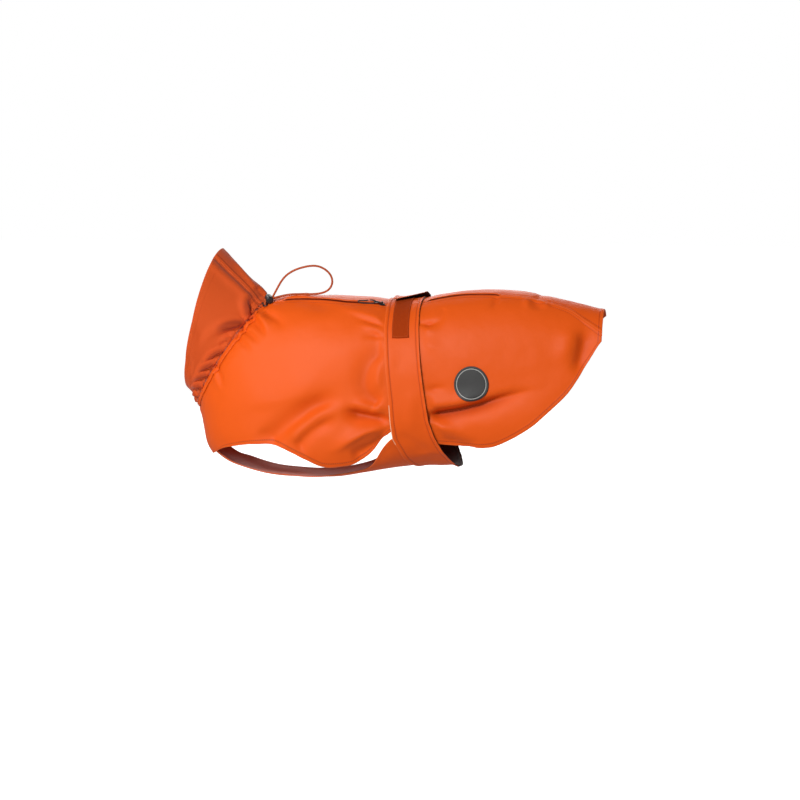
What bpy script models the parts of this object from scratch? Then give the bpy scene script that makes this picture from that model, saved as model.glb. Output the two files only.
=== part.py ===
"""Dog raincoat: two side panels, a gathered collar with an elastic drawcord, a chest-and-belly
panel, a belly band closed with hook-and-loop tape, a back zip, and a round badge.

Frame: +X towards the tail, -Y the wearer's left side, +Z up; the origin is on the inside of the
back, where the wearer holds the coat up. Tables and sizes are in millimetres, and each object is
made in metres. Every piece of cloth is placed by its section (0 at the neck seam, 11 at the tail)
and by its distance along the cloth from the spine line, positive on the left side.
"""

import math

import bmesh
import bpy
import numpy as np
from mathutils import Vector
from mathutils.bvhtree import BVHTree

MM = 0.001

# Driving dimensions
CLOTH = 1.2             # wall of the coated cloth
GAP = 0.3               # clearance between pieces that are sewn or touch
LAY = 0.55              # height of a piece's underside over the panel it lies on
TAPE = 1.0              # hook tape and loop tape
NEAR, FAR = 1, -1       # left side and right side

# Sections of the coat: its top point and lowest point in side view, half its width, how square the
# upper and lower halves are (2 is an ellipse), and how far its sides lean forward
SECTIONS = [
    # top_x, top_z, low_x, low_z, half_w, up_n, low_n, bow
    (-191, 0, -294, -153, 58, 2.0, 2.0, 9),
    (-171, 3, -289, -176, 72, 2.1, 2.1, 5),
    (-148, 5, -276, -222, 84, 2.1, 2.4, 0),
    (-116, 5, -236, -245, 91, 2.2, 2.8, 0),
    (-80, 5, -170, -259, 95, 2.2, 3.0, 0),
    (-38, 3, -84, -259, 96, 2.2, 2.8, 0),
    (12, -1, 8, -243, 94, 2.2, 2.4, 0),
    (64, 9, 76, -236, 92, 2.2, 2.4, 0),
    (123, 16, 152, -244, 90, 2.2, 2.4, 0),
    (181, 14, 220, -240, 84, 2.2, 2.4, 0),
    (241, 2, 268, -222, 74, 2.2, 2.4, 0),
    (296, -11, 294, -190, 58, 2.2, 2.4, 0),
]
NECK, CHEST, TAIL = 0.0, 2.0, 11.0

# Sections of the collar, from the neck seam to the rim, in the same columns
COLLAR_SECTIONS = [
    (-191, 0, -294, -153, 58, 2.0, 2.0, 9),
    (-199, 14, -300, -149, 64, 2.1, 2.0, 9),
    (-215, 32, -303, -145, 67, 2.1, 2.0, 10),
    (-232, 47, -305, -141, 69, 2.1, 2.0, 10),
    (-247, 60, -307, -136, 70, 2.1, 2.0, 9),
    (-261, 71, -309, -131, 70, 2.1, 2.0, 8),
]
RIM = 5.0

# Cut of the side panels: distance from the spine line to the back seam and to the left hem
BACK_SEAM = [  # section, distance
    (0, 28), (2, 26), (3.2, 28), (4.2, 36), (5.4, 35), (6.6, 29),
    (7.5, 26), (8.5, 31), (9.5, 30), (10.05, 34), (10.5, 47), (11, 57),
]
LEFT_HEM = [  # section, distance
    (2.0, 348), (2.36, 300), (2.8, 284), (3.3, 274), (3.8, 271), (4.12, 276), (4.46, 284),
    (4.75, 291), (5.03, 289), (5.29, 282), (5.54, 266), (5.76, 241), (5.95, 230), (6.2, 236),
    (6.47, 248), (6.91, 261), (7.5, 267), (7.9, 266), (8.2, 258), (8.6, 242), (9.01, 221),
    (9.76, 174), (10.2, 140), (10.62, 105), (10.9, 78), (11, 69),
]
RIGHT_HEM_RISE = [(2, 0), (4, 34), (11, 34)]     # section, how much shorter the right side hangs
HEM_FLARE = [  # section, how far the hem stands out
    (2, 0), (3, 4), (4, 8), (4.75, 10), (5.3, 8), (5.7, 0), (6.6, 0), (7.2, 3), (8, 6), (9, 6),
    (10, 4), (11, 0),
]

# Belly band, the same on both sides: its front and rear edge at each distance from the spine
BAND_EDGES = [
    # distance, front, rear
    (0, 5.48, 6.50), (30, 5.50, 6.48), (52, 5.53, 6.47), (81, 5.57, 6.48), (106, 5.63, 6.51),
    (144, 5.72, 6.56), (186, 5.81, 6.64), (219, 5.85, 6.70), (243, 5.89, 6.80), (260, 5.99, 6.89),
    (283, 6.09, 7.03), (304, 6.22, 7.13), (328, 6.33, 7.20), (352, 6.36, 7.23),
]
LEFT_END = -24          # the left end lies under the right one, just past the spine
RIGHT_END = 28          # the right end laps over it, down to here at its front corner
RIGHT_SLANT = 36        # its rear corner stops this much higher
RIGHT_SHIFT = 0.14      # it is fastened this part of a section behind the left end
LAP_RAMP = (-66, -34)   # where the right end climbs over the left one
TIP_RAISE = 2.0         # its free edge stands off a little
LAP_STACK = CLOTH + 2 * TAPE + 4 * GAP      # height of what lies under the right end
PATCH_ROWS = 11         # loop tape on the left end, this many steps of the band long
PATCH_ACROSS = (0.22, 0.46, 0.70)
HOOK_ACROSS = (0.12, 0.34, 0.56)    # hook tape under the right end

# Belly panel: half its width at each section
BELLY_WIDTH = [
    (2.05, 40), (2.6, 42), (3.5, 44), (4.5, 46), (5.1, 48), (5.4, 53), (5.55, 62), (5.65, 82),
    (5.75, 97), (5.87, 106), (6.6, 110),
]
BELLY_LAP = 0.14        # how far its rear edge runs under the band
CHEST_TUCK = 1.8        # how much deeper its front edge lies under the side panels

# Folds: a ridge or a trough along a line in side view; height is negative for a trough
FOLDS = [
    # side, x0, z0, x1, z1, width, height
    (NEAR, -232, -147, -79, -116, 20, 3.5),
    (NEAR, -84, -131, -168, -195, 13, -4.0),
    (NEAR, -114, -186, -133, -206, 9, -3.0),
    (NEAR, -58, -150, -14, -162, 14, -6.0),
    (NEAR, -16, -178, -78, -202, 12, 4.5),
    (NEAR, -68, -12, -24, -28, 8, -2.2),
    (NEAR, -34, -52, -22, -84, 9, -2.5),
    (NEAR, 64, -153, 112, -143, 12, -6.5),
    (NEAR, 112, -143, 186, -122, 13, -4.0),
    (NEAR, 66, -170, 124, -176, 10, 4.0),
    (NEAR, 58, -26, 74, -22, 6, -3.0),
    (NEAR, 262, -40, 262, -104, 14, -4.0),
    (NEAR, 206, -4, 208, -16, 11, -4.0),
    (FAR, 198, 11, 200, 6, 10, -4.0),
    (FAR, -154, 6, -140, 6, 12, 4.5),
    (FAR, -226, -140, -96, -112, 20, 3.5),
    (FAR, -96, -122, -160, -176, 13, -4.0),
    (FAR, -70, -138, -20, -150, 14, -5.0),
    (FAR, 62, -134, 158, -112, 13, -5.0),
    (FAR, 66, -152, 128, -150, 10, 3.5),
    (FAR, 258, -30, 256, -84, 14, -4.0),
]

# Gathers at the neck seam: distance from the spine line, depth, half-width, length as a part of
# the collar's height, and lean along the seam at the rim
GATHERS = [
    (52, 6.0, 7.5, 0.42, -16), (75, 7.0, 7.0, 0.60, -4), (98, 4.5, 6.5, 0.42, 3),
    (121, 6.0, 6.5, 0.52, 6), (141, 5.0, 5.2, 0.50, 6), (158, 5.0, 4.8, 0.46, 5),
    (177, 4.5, 4.8, 0.46, 3), (196, 4.0, 4.8, 0.42, 2), (214, 4.0, 4.6, 0.44, 0),
    (232, 4.0, 4.6, 0.46, 0),
    (4, 3.5, 6.0, 0.34, 5), (-22, 4.0, 6.5, 0.40, 8), (-48, 6.0, 7.0, 0.52, 4),
    (-70, 5.0, 6.5, 0.40, 0), (-93, 6.5, 7.0, 0.56, -4), (-118, 5.0, 6.0, 0.44, -5),
    (-139, 5.5, 5.2, 0.50, -4), (-160, 4.5, 5.0, 0.44, -3), (-180, 4.5, 4.8, 0.46, -2),
    (-199, 4.0, 4.6, 0.42, 0), (-216, 4.0, 4.6, 0.44, 0),
]
SEAM_DEPTH = 0.22       # share of a gather's depth left at the seam itself

# Neck casing, over the front edge of the side panels
CASING = (0.11, 0.44)   # its front and rear edge, as sections
CASING_ENDS = (46, 6)   # it stops short of the eyelets here, left and right of the lock

# Back zip
ZIP = (1.45, 8.35)      # front stop and rear stop, as sections
ZIP_SLIT = 3.4          # width of the slit between the panels
ZIP_CHAIN = 2.0
SLIDER_AT = 5.36
SLIDER = (9.0, 7.0, 1.6)
TAB_LENGTH, TAB_WIDTH, TAB_THICK = 12.0, 5.0, 1.0
PIN_R, EYE_R, EYE_BORE = 0.65, 1.7, 1.0
PULL_CORD = 1.8

# Badge, a moulded patch with a raised ring
BADGE_AT = (7.67, 173)
BADGE_R, BADGE_THICK = 24.8, 1.8
BADGE_RING = (20.4, 21.6, 0.5)

# Cord lock and its elastic cord
LOCK_AT = (0.62, 28)
LOCK_R, LOCK_LENGTH, BUTTON_R, BUTTON_LENGTH = 5.6, 13.0, 4.2, 5.0
ELASTIC = 3.0
EYELET_R, EYELET_BORE, EYELET_THICK = 4.2, 2.2, 1.0
EYELET_AHEAD, EYELET_APART = -8.1, 4.6      # eyelets from the lock's middle, forward and sideways

# The elastic's free loop, from the lock up, over and back along the top of the coat
LOOP_ROUTE = [  # x, y, z
    (-167, -26, 30.7), (-158, -25, 38.7), (-147, -24, 44.6), (-130, -22, 49.0),
    (-117, -21, 49.7), (-104, -19, 43.2), (-96, -17, 33.0), (-96, -15, 21.9),
    (-103, -13, 12.2), (-117, -12, 8.0), (-131, -12, 7.4), (-146, -14, 7.4),
    (-159, -19, 7.4),
]

# Colours: base colour, roughness, metallic
FINISHES = {
    "coated_cloth": ((0.80, 0.16, 0.035), 0.45, 0.0),
    "loop_tape": ((0.45, 0.06, 0.012), 0.9, 0.0),
    "hook_tape": ((0.02, 0.018, 0.018), 0.6, 0.0),
    "black_plastic": ((0.02, 0.02, 0.022), 0.35, 0.0),
    "dark_metal": ((0.10, 0.10, 0.11), 0.3, 1.0),
    "elastic_cord": ((0.42, 0.09, 0.03), 0.7, 0.0),
    "badge_rubber": ((0.035, 0.037, 0.04), 0.55, 0.0),
}


def along(table, v, column=1, window=0.09):
    """A table's column read at v, with its corners rounded over a short window."""
    rows = np.array(table, float)
    near = v + window * np.array([-1.0, -0.5, 0.0, 0.5, 1.0])
    return float(np.mean(np.interp(near, rows[:, 0], rows[:, column])))


def smooth(x, low, high):
    t = min(max((x - low) / (high - low), 0.0), 1.0)
    return t * t * (3 - 2 * t)


def unit(vector):
    return vector / np.linalg.norm(vector)


class Form:
    """A hollow form through closed sections; a point is found by section and distance along it."""

    STEPS = 240

    def __init__(self, sections):
        self.sections = np.array(sections, float)
        self.last = len(sections) - 1
        self.kept = {}

    def section(self, v):
        rows = self.sections
        i = int(min(max(math.floor(v), 0), self.last - 1))
        f = v - i
        p1, p2 = rows[i], rows[i + 1]
        p0 = rows[i - 1] if i else 2 * p1 - p2
        p3 = rows[i + 2] if i + 2 <= self.last else 2 * p2 - p1
        if f < 0 or f > 1:
            return p1 + (p2 - p1) * f
        return 0.5 * (2 * p1 + (p2 - p0) * f + (2 * p0 - 5 * p1 + 4 * p2 - p3) * f * f
                      + (3 * p1 - p0 - 3 * p2 + p3) * f ** 3)

    def curve(self, v):
        """The left half of a section from the spine down, and the distances along it."""
        key = round(v, 5)
        if key not in self.kept:
            top_x, top_z, low_x, low_z, half_w, up_n, low_n, bow = self.section(v)
            angle = np.linspace(0.0, math.pi, self.STEPS + 1)
            power = 2 / np.where(np.cos(angle) >= 0, up_n, low_n)
            down = np.sign(np.cos(angle)) * np.abs(np.cos(angle)) ** power
            out = np.abs(np.sin(angle)) ** power
            x = (top_x + low_x) / 2 + (top_x - low_x) / 2 * down - bow * out
            z = (top_z + low_z) / 2 + (top_z - low_z) / 2 * down
            points = np.stack([x, -half_w * out, z], axis=1)
            steps = np.linalg.norm(np.diff(points, axis=0), axis=1)
            self.kept[key] = points, np.concatenate([[0.0], np.cumsum(steps)])
        return self.kept[key]

    def half(self, v):
        return self.curve(v)[1][-1]

    def point(self, v, distance):
        points, lengths = self.curve(v)
        side = 1.0 if distance >= 0 else -1.0
        reach = abs(distance)
        if reach > lengths[-1]:
            reach, side = 2 * lengths[-1] - reach, -side
        found = np.array([np.interp(reach, lengths, points[:, k]) for k in range(3)])
        found[1] *= side
        return found

    def tangents(self, v, distance):
        dv = self.point(v + 0.03, distance) - self.point(v - 0.03, distance)
        dd = self.point(v, distance + 1.5) - self.point(v, distance - 1.5)
        return dv / 0.06, dd / 3.0

    def normal(self, v, distance):
        dv, dd = self.tangents(v, distance)
        return unit(np.cross(dd, dv))

    def frame(self, v, distance, lift=0.0):
        """Place on the face, direction along the coat, direction down the cloth, and outwards."""
        dv, dd = self.tangents(v, distance)
        out = unit(np.cross(dd, dv))
        rear = unit(dv)
        return self.point(v, distance) + out * lift, rear, np.cross(rear, out) * -1.0, out

    def offset(self, v, distance, rearward, downward):
        """Section and distance of a point some millimetres away along the face."""
        dv, dd = self.tangents(v, distance)
        rear = unit(dv)
        down = unit(dd - rear * (dd @ rear))
        want = rear * rearward + down * downward
        both = np.stack([dv, dd], axis=1)
        step = np.linalg.lstsq(both, want, rcond=None)[0]
        return v + step[0], distance + step[1]


COAT = Form(SECTIONS)
COLLAR = Form(COLLAR_SECTIONS)


def gather(distance, height):
    """Depth of the gathers at a distance along the neck seam and a share of the collar's height."""
    depth = 0.0
    for at, deep, half_width, length, lean in GATHERS:
        across = (distance - at - lean * height) / (half_width * (1 + 0.9 * height))
        rise = SEAM_DEPTH + (1 - SEAM_DEPTH) * smooth(height, 0.0, 0.16)
        depth += deep * rise * math.exp(-across * across) * math.exp(-(height / length) ** 2)
    return depth


def band_edge(distance, column):
    return float(np.interp(abs(distance), [r[0] for r in BAND_EDGES], [r[column] for r in BAND_EDGES]))


def beside_band(v, distance):
    """0 under the belly band, 1 away from it."""
    before = band_edge(distance, 1) - v
    behind = v - band_edge(distance, 2) - 0.2
    return smooth(max(before, behind), 0.02, 0.20)


def folds(point):
    height = 0.0
    for side, x0, z0, x1, z1, width, rise in FOLDS:
        here_too = 1 - smooth(side * point[1], -8.0, 8.0)
        run = np.array([x1 - x0, z1 - z0], float)
        here = np.array([point[0] - x0, point[2] - z0])
        share = min(max(here @ run / (run @ run), 0.0), 1.0)
        away = np.linalg.norm(here - run * share) / width
        height += rise * here_too * math.exp(-away * away) * (0.72 + 0.28 * math.cos(math.pi * share))
    return height


def panel_face(v, distance, to_hem):
    """Outer face of a side panel, with its folds; to_hem is 0 at the seam and 1 at the hem."""
    point = COAT.point(v, distance)
    lift = folds(point) + along(HEM_FLARE, v) * smooth(to_hem, 0.62, 1.0)
    lift *= beside_band(v, distance)
    return point, lift


class Skin:
    """The finished face of a panel, for what is laid on it."""

    FAR_OUT = 40.0

    def __init__(self, name):
        mesh = bpy.data.objects[name].data
        points = [vertex.co / MM for vertex in mesh.vertices]
        self.tree = BVHTree.FromPolygons(points, [tuple(face.vertices) for face in mesh.polygons])

    def height(self, v, distance):
        out = COAT.normal(v, distance)
        start = COAT.point(v, distance) + out * self.FAR_OUT
        reach = self.tree.ray_cast(Vector(start), Vector(-out), 2 * self.FAR_OUT)[3]
        return self.FAR_OUT - reach

    def over(self, v, distance, around):
        """The highest point of the face close to a place."""
        steps = [(0, 0), (around, 0), (-around, 0), (0, around), (0, -around)]
        return max(self.height(*COAT.offset(v, distance, *step)) for step in steps)


def mesh_object(name, points, faces, finish, sharp=40):
    mesh = bpy.data.meshes.new(name)
    mesh.from_pydata([tuple(p) for p in np.asarray(points) * MM], [], faces)
    shell = bmesh.new()
    shell.from_mesh(mesh)
    bmesh.ops.recalc_face_normals(shell, faces=shell.faces)
    bmesh.ops.triangulate(shell, faces=shell.faces)
    shell.to_mesh(mesh)
    shell.free()
    mesh.shade_smooth()
    mesh.set_sharp_from_angle(angle=math.radians(sharp))
    made = bpy.data.objects.new(name, mesh)
    bpy.context.collection.objects.link(made)
    made.data.materials.append(material(finish))
    return made


def material(finish):
    if finish not in bpy.data.materials:
        colour, roughness, metallic = FINISHES[finish]
        made = bpy.data.materials.new(finish)
        made.use_nodes = True
        shader = made.node_tree.nodes["Principled BSDF"]
        shader.inputs["Base Color"].default_value = (*colour, 1.0)
        shader.inputs["Roughness"].default_value = roughness
        shader.inputs["Metallic"].default_value = metallic
    return bpy.data.materials[finish]


def sheet(name, outer, inner, finish):
    """A closed wall between two grids of points, outer and inner, rows by columns."""
    rows, cols = outer.shape[:2]
    count = rows * cols
    faces = []
    for r in range(rows - 1):
        for c in range(cols - 1):
            a, b, d, e = r * cols + c, r * cols + c + 1, (r + 1) * cols + c + 1, (r + 1) * cols + c
            faces.append((a, b, d, e))
            faces.append((a + count, e + count, d + count, b + count))
    rim = [c for c in range(cols)]
    rim += [r * cols + cols - 1 for r in range(1, rows)]
    rim += [(rows - 1) * cols + c for c in range(cols - 2, -1, -1)]
    rim += [r * cols for r in range(rows - 2, 0, -1)]
    for i, a in enumerate(rim):
        b = rim[(i + 1) % len(rim)]
        faces.append((b, a, a + count, b + count))
    points = np.concatenate([outer.reshape(-1, 3), inner.reshape(-1, 3)])
    return mesh_object(name, points, faces, finish)


def grid_normals(grid, out):
    """Normals of a grid of points, turned to the side that out gives at its middle."""
    rows = np.gradient(grid, axis=0)
    cols = np.gradient(grid, axis=1)
    normals = np.cross(rows, cols)
    normals /= np.linalg.norm(normals, axis=2, keepdims=True)
    middle = normals[grid.shape[0] // 2, grid.shape[1] // 2]
    return normals if middle @ out > 0 else -normals


def wall(name, grid, normals, low, high, finish):
    """A wall between two heights over a grid of points on the coat."""
    return sheet(name, grid + normals * high, grid + normals * low, finish)


# Side panels ---------------------------------------------------------------------------------

def seam_distance(v, side):
    half_slit = GAP * 0.6 + (ZIP_SLIT - GAP) / 2 * smooth(v, ZIP[0] - 0.1, ZIP[0]) * (
        1 - smooth(v, ZIP[1], ZIP[1] + 0.1))
    return along(BACK_SEAM, v) + side * half_slit


def hem_distance(v, side):
    if v <= CHEST:
        reach = COAT.half(v) - GAP / 2
    else:
        reach = along(LEFT_HEM, v, window=0.06)
        reach = min(reach, COAT.half(v) - GAP / 2)
    if side == FAR:
        reach -= along(RIGHT_HEM_RISE, v)
    return side * reach


def side_panel(name, side, stations, rows):
    grid, lifts = [], []
    for v in stations:
        start, end = seam_distance(v, side), hem_distance(v, side)
        line, raised = [], []
        for share in np.linspace(0.0, 1.0, rows + 1):
            distance = start + (end - start) * share
            point, lift = panel_face(max(v, 0.0), distance, share)
            line.append(point + COAT.normal(max(v, 0.0), distance) * lift)
        grid.append(line)
    grid = np.array(grid)
    normals = grid_normals(grid, np.array([0.0, -side, 0.0]))
    for row, v in enumerate(stations):
        normals[row, 0] = COAT.normal(v, along(BACK_SEAM, v))
        if v <= CHEST:
            normals[row, -1] = COAT.normal(v, COAT.half(v))
    grid[0] += unit(np.array([1.0, 0.0, -0.4])) * GAP / 2
    return wall(name, grid, normals, -CLOTH, 0.0, "coated_cloth")


# Sections where the panels have a line of points, closer at the chest and beside the band
STATIONS = sorted(set(np.round(np.concatenate([np.linspace(NECK, TAIL, 37), [2.14, 5.68, 5.95]]), 3)))


def make_panels():
    side_panel("side_panel_left", NEAR, STATIONS, 18)
    side_panel("side_panel_right", FAR, STATIONS, 16)


# Collar and neck casing ------------------------------------------------------------------------

COLLAR_STEP = 4.6


def collar_face(height, distance):
    """A point of the collar's outer face; distance is measured along the neck seam."""
    v = height * RIM
    place = distance * COLLAR.half(v) / COLLAR.half(0.0)
    point = COLLAR.point(v, place)
    return point - COLLAR.normal(v, place) * gather(distance, height)


def make_collar():
    start = seam_distance(0.0, NEAR)
    whole = 2 * COLLAR.half(0.0) - GAP
    columns = int(whole / COLLAR_STEP)
    distances = start + whole * np.linspace(0.0, 1.0, columns + 1)
    heights = [0.0, 0.06, 0.16, 0.30, 0.48, 0.72, 1.0]
    grid = np.array([[collar_face(h, d if d <= COLLAR.half(0.0) else d - 2 * COLLAR.half(0.0))
                      for d in distances] for h in heights])
    normals = grid_normals(grid, np.array([0.0, -1.0, 0.0]))
    middle = grid.shape[1] // 2
    if normals[3, middle] @ np.array([-1.0, 0.0, -0.5]) < 0:
        normals = -normals
    ahead = grid[1] - grid[0]
    grid[0] += ahead / np.linalg.norm(ahead, axis=1, keepdims=True) * GAP / 2
    wall("collar", grid, normals, -CLOTH, 0.0, "coated_cloth")


def make_casing():
    half = COAT.half(0.0)
    count = 72
    distances = np.linspace(CASING_ENDS[0], 2 * half + CASING_ENDS[1], count + 1)
    grid, normals = [], []
    for v in np.linspace(*CASING, 3):
        line, out = [], []
        for d in distances:
            d = d if d <= half else d - 2 * half
            distance = d * COAT.half(v) / half
            line.append(COAT.point(v, distance))
            out.append(COAT.normal(v, distance))
        grid.append(line)
        normals.append(out)
    wall("neck_casing", np.array(grid), np.array(normals), LAY, LAY + CLOTH, "coated_cloth")


# Belly panel and band ---------------------------------------------------------------------------

def make_belly_panel():
    across = np.linspace(-1.0, 1.0, 11)
    shares = [0, 0.1, 0.22, 0.34, 0.46, 0.57, 0.67, 0.75, 0.81, 0.86, 0.90, 0.93, 0.96, 1.0]
    grid, normals = [], []
    for share in shares:
        line, out = [], []
        for c in across:
            edge = COAT.half(6.0) - abs(c) * along(BELLY_WIDTH, 5.87)
            rear = band_edge(edge, 1) + BELLY_LAP
            front = 2.05
            v = front + (rear - front) * share
            distance = COAT.half(v) - abs(c) * along(BELLY_WIDTH, v, window=0.05)
            distance = distance if c >= 0 else -distance
            under = CHEST_TUCK * (1 - smooth(v, 2.3, 2.9))
            line.append(COAT.point(v, distance) - COAT.normal(v, distance) * under)
            out.append(COAT.normal(v, distance))
        grid.append(line)
        normals.append(out)
    high = -CLOTH - GAP
    wall("belly_panel", np.array(grid), np.array(normals), high - CLOTH, high, "coated_cloth")


def band_place(travel, across):
    """Section and distance of a point of the band. Travel runs from the left end, down the left
    side, under the belly and up the right side, as distance from the spine; past the belly it is
    counted back to the spine and over it."""
    half = COAT.half(6.4)
    if travel <= half:
        distance = travel
        front, rear = band_edge(distance, 1), band_edge(distance, 2)
    else:
        distance = travel - 2 * half
        near_top = RIGHT_SHIFT * (1 - smooth(abs(min(distance, 0.0)), 20, 110))
        front, rear = band_edge(distance, 1) + near_top, band_edge(distance, 2) + near_top * 0.6
        distance -= RIGHT_SLANT * across * smooth(distance, -90, RIGHT_END)
    v = front + (rear - front) * across
    if abs(distance) > 250:
        turn = smooth(abs(distance), 250, 330)
        stretch = 1 + (COAT.half(v) / half - 1) * turn
        distance *= stretch
    return v, distance


def band_lift(travel):
    """Height of the band's inner face over the coat: on the panels, then on the belly panel."""
    half = COAT.half(6.4)
    distance = travel if travel <= half else travel - 2 * half
    lift = LAY - (CLOTH + GAP) * smooth(abs(distance), 272, 292)
    if travel > half:
        lift += LAP_STACK * smooth(distance, *LAP_RAMP)
        lift += TIP_RAISE * smooth(distance, 8, RIGHT_END)
    return lift


def strip(name, travels, acrosses, low, high, finish):
    """A strip laid along the band's run, between two heights given as functions of travel."""
    outer, inner = [], []
    for travel in travels:
        top, bottom = [], []
        for across in acrosses:
            v, distance = band_place(travel, across)
            point, out = COAT.point(v, distance), COAT.normal(v, distance)
            top.append(point + out * high(travel))
            bottom.append(point + out * low(travel))
        outer.append(top)
        inner.append(bottom)
    return sheet(name, np.array(outer), np.array(inner), finish)


def make_band():
    half = COAT.half(6.4)
    left = np.arange(LEFT_END, half, 11.0)
    right = 2 * half + np.concatenate([np.arange(-half + 6, -70, 11.0), np.arange(-70, -30, 9.0)])
    lap = 2 * half + np.linspace(-24, RIGHT_END, 6)
    strip("belly_band", np.concatenate([left, right, lap]), np.linspace(0, 1, 5), band_lift,
          lambda travel: band_lift(travel) + CLOTH, "coated_cloth")
    strip("loop_patch", left[1:PATCH_ROWS + 1], PATCH_ACROSS,
          lambda travel: band_lift(travel) + CLOTH + GAP,
          lambda travel: band_lift(travel) + CLOTH + GAP + TAPE, "loop_tape")
    strip("hook_patch", lap[:-1], HOOK_ACROSS, lambda travel: band_lift(travel) - GAP * 1.5 - TAPE,
          lambda travel: band_lift(travel) - GAP * 1.5, "hook_tape")


# Zip -----------------------------------------------------------------------------------------------

def make_zip_chain():
    grid, normals = [], []
    for v in [v for v in STATIONS if ZIP[0] < v < ZIP[1]]:
        middle = along(BACK_SEAM, v)
        line = [COAT.point(v, middle + side * ZIP_CHAIN / 2) for side in (-1, 1)]
        grid.append(line)
        normals.append([COAT.normal(v, middle)] * 2)
    wall("zip_chain", np.array(grid), np.array(normals), -CLOTH, -0.1, "coated_cloth")


def slider_frame():
    middle = along(BACK_SEAM, SLIDER_AT)
    place, _, _, out = COAT.frame(SLIDER_AT, middle)
    ahead = COAT.point(SLIDER_AT - 0.2, along(BACK_SEAM, SLIDER_AT - 0.2))
    rear = unit(COAT.point(SLIDER_AT + 0.1, along(BACK_SEAM, SLIDER_AT + 0.1)) - ahead)
    out = unit(out - rear * (out @ rear))
    return place, rear, np.cross(out, rear), out


def placed(frame, local):
    """Local points (rearward, sideways, outward) set at a frame on the coat."""
    place, rear, side, out = frame
    local = np.asarray(local, float)
    return place + local[:, :1] * rear + local[:, 1:2] * side + local[:, 2:3] * out


def prism(outline, low, high):
    """Points and faces of an upright prism over a closed outline."""
    count = len(outline)
    points = [(x, y, low) for x, y in outline] + [(x, y, high) for x, y in outline]
    faces = [tuple(range(count))[::-1], tuple(range(count, 2 * count))]
    faces += [(i, (i + 1) % count, (i + 1) % count + count, i + count) for i in range(count)]
    return points, faces


def solid(points, faces):
    made = bmesh.new()
    rows = [made.verts.new(tuple(p)) for p in points]
    for face in faces:
        made.faces.new([rows[i] for i in face])
    bmesh.ops.recalc_face_normals(made, faces=made.faces)
    return made


def joined(name, parts, frame, finish, sharp=40):
    """One body from overlapping local parts, joined by a Boolean union and set at its frame."""
    objects = []
    for index, (points, faces) in enumerate(parts):
        made = solid(points, faces)
        mesh = bpy.data.meshes.new(name)
        made.to_mesh(mesh)
        made.free()
        part = bpy.data.objects.new(name + "_part", mesh)
        bpy.context.collection.objects.link(part)
        objects.append(part)
    whole = objects[0]
    for part in objects[1:]:
        join = whole.modifiers.new("join", "BOOLEAN")
        join.operation, join.object, join.solver = "UNION", part, "EXACT"
    depsgraph = bpy.context.evaluated_depsgraph_get()
    mesh = bpy.data.meshes.new_from_object(whole.evaluated_get(depsgraph))
    points = placed(frame, [v.co for v in mesh.vertices])
    faces = [tuple(p.vertices) for p in mesh.polygons]
    for part in objects:
        bpy.data.objects.remove(part)
    return mesh_object(name, points, faces, finish, sharp)


def cylinder(centre, axis, radius, length, sides=16, bore=None):
    """A cylinder or ring along a local axis (0 rearward, 1 sideways, 2 outward)."""
    u, w = [(1, 2), (2, 0), (0, 1)][axis]
    rings = [(radius, -length / 2), (radius, length / 2)]
    if bore:
        rings += [(bore, length / 2), (bore, -length / 2)]
    points, faces = [], []
    for r, along_axis in rings:
        for i in range(sides):
            p = list(centre)
            p[axis] += along_axis
            p[u] += r * math.cos(2 * math.pi * i / sides)
            p[w] += r * math.sin(2 * math.pi * i / sides)
            points.append(tuple(p))
    count = len(rings)
    for k in range(count if bore else count - 1):
        for i in range(sides):
            j = (i + 1) % sides
            a, b = k * sides, (k + 1) % count * sides
            faces.append((a + i, a + j, b + j, b + i))
    if not bore:
        faces += [tuple(range(sides))[::-1], tuple(range(sides, 2 * sides))]
    return points, faces


def box(low, high):
    outline = [(low[0], low[1]), (high[0], low[1]), (high[0], high[1]), (low[0], high[1])]
    return prism(outline, low[2], high[2])


SLIDER_LOW = GAP + 0.2
PIN_Z = SLIDER_LOW + SLIDER[2] + GAP + EYE_R


def make_slider():
    length, width, thick = SLIDER
    low, high = SLIDER_LOW, SLIDER_LOW + thick
    half = width / 2
    plate = [(-length / 2, -half * 0.75), (-length / 4, -half), (length / 5, -half * 0.9),
             (length / 2, -half * 0.3), (length / 2, half * 0.3), (length / 5, half * 0.9),
             (-length / 4, half), (-length / 2, half * 0.75)]
    parts = [prism(plate, low, high)]
    for side in (-1, 1):
        near, far = sorted((side * 1.35, side * 2.35))
        parts.append(box((-1.0, near, high - 0.4), (1.0, far, PIN_Z + PIN_R + 0.5)))
    parts.append(cylinder((0, 0, PIN_Z), 1, PIN_R, 3.6, 12))
    joined("zip_slider", parts, slider_frame(), "black_plastic")


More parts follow.
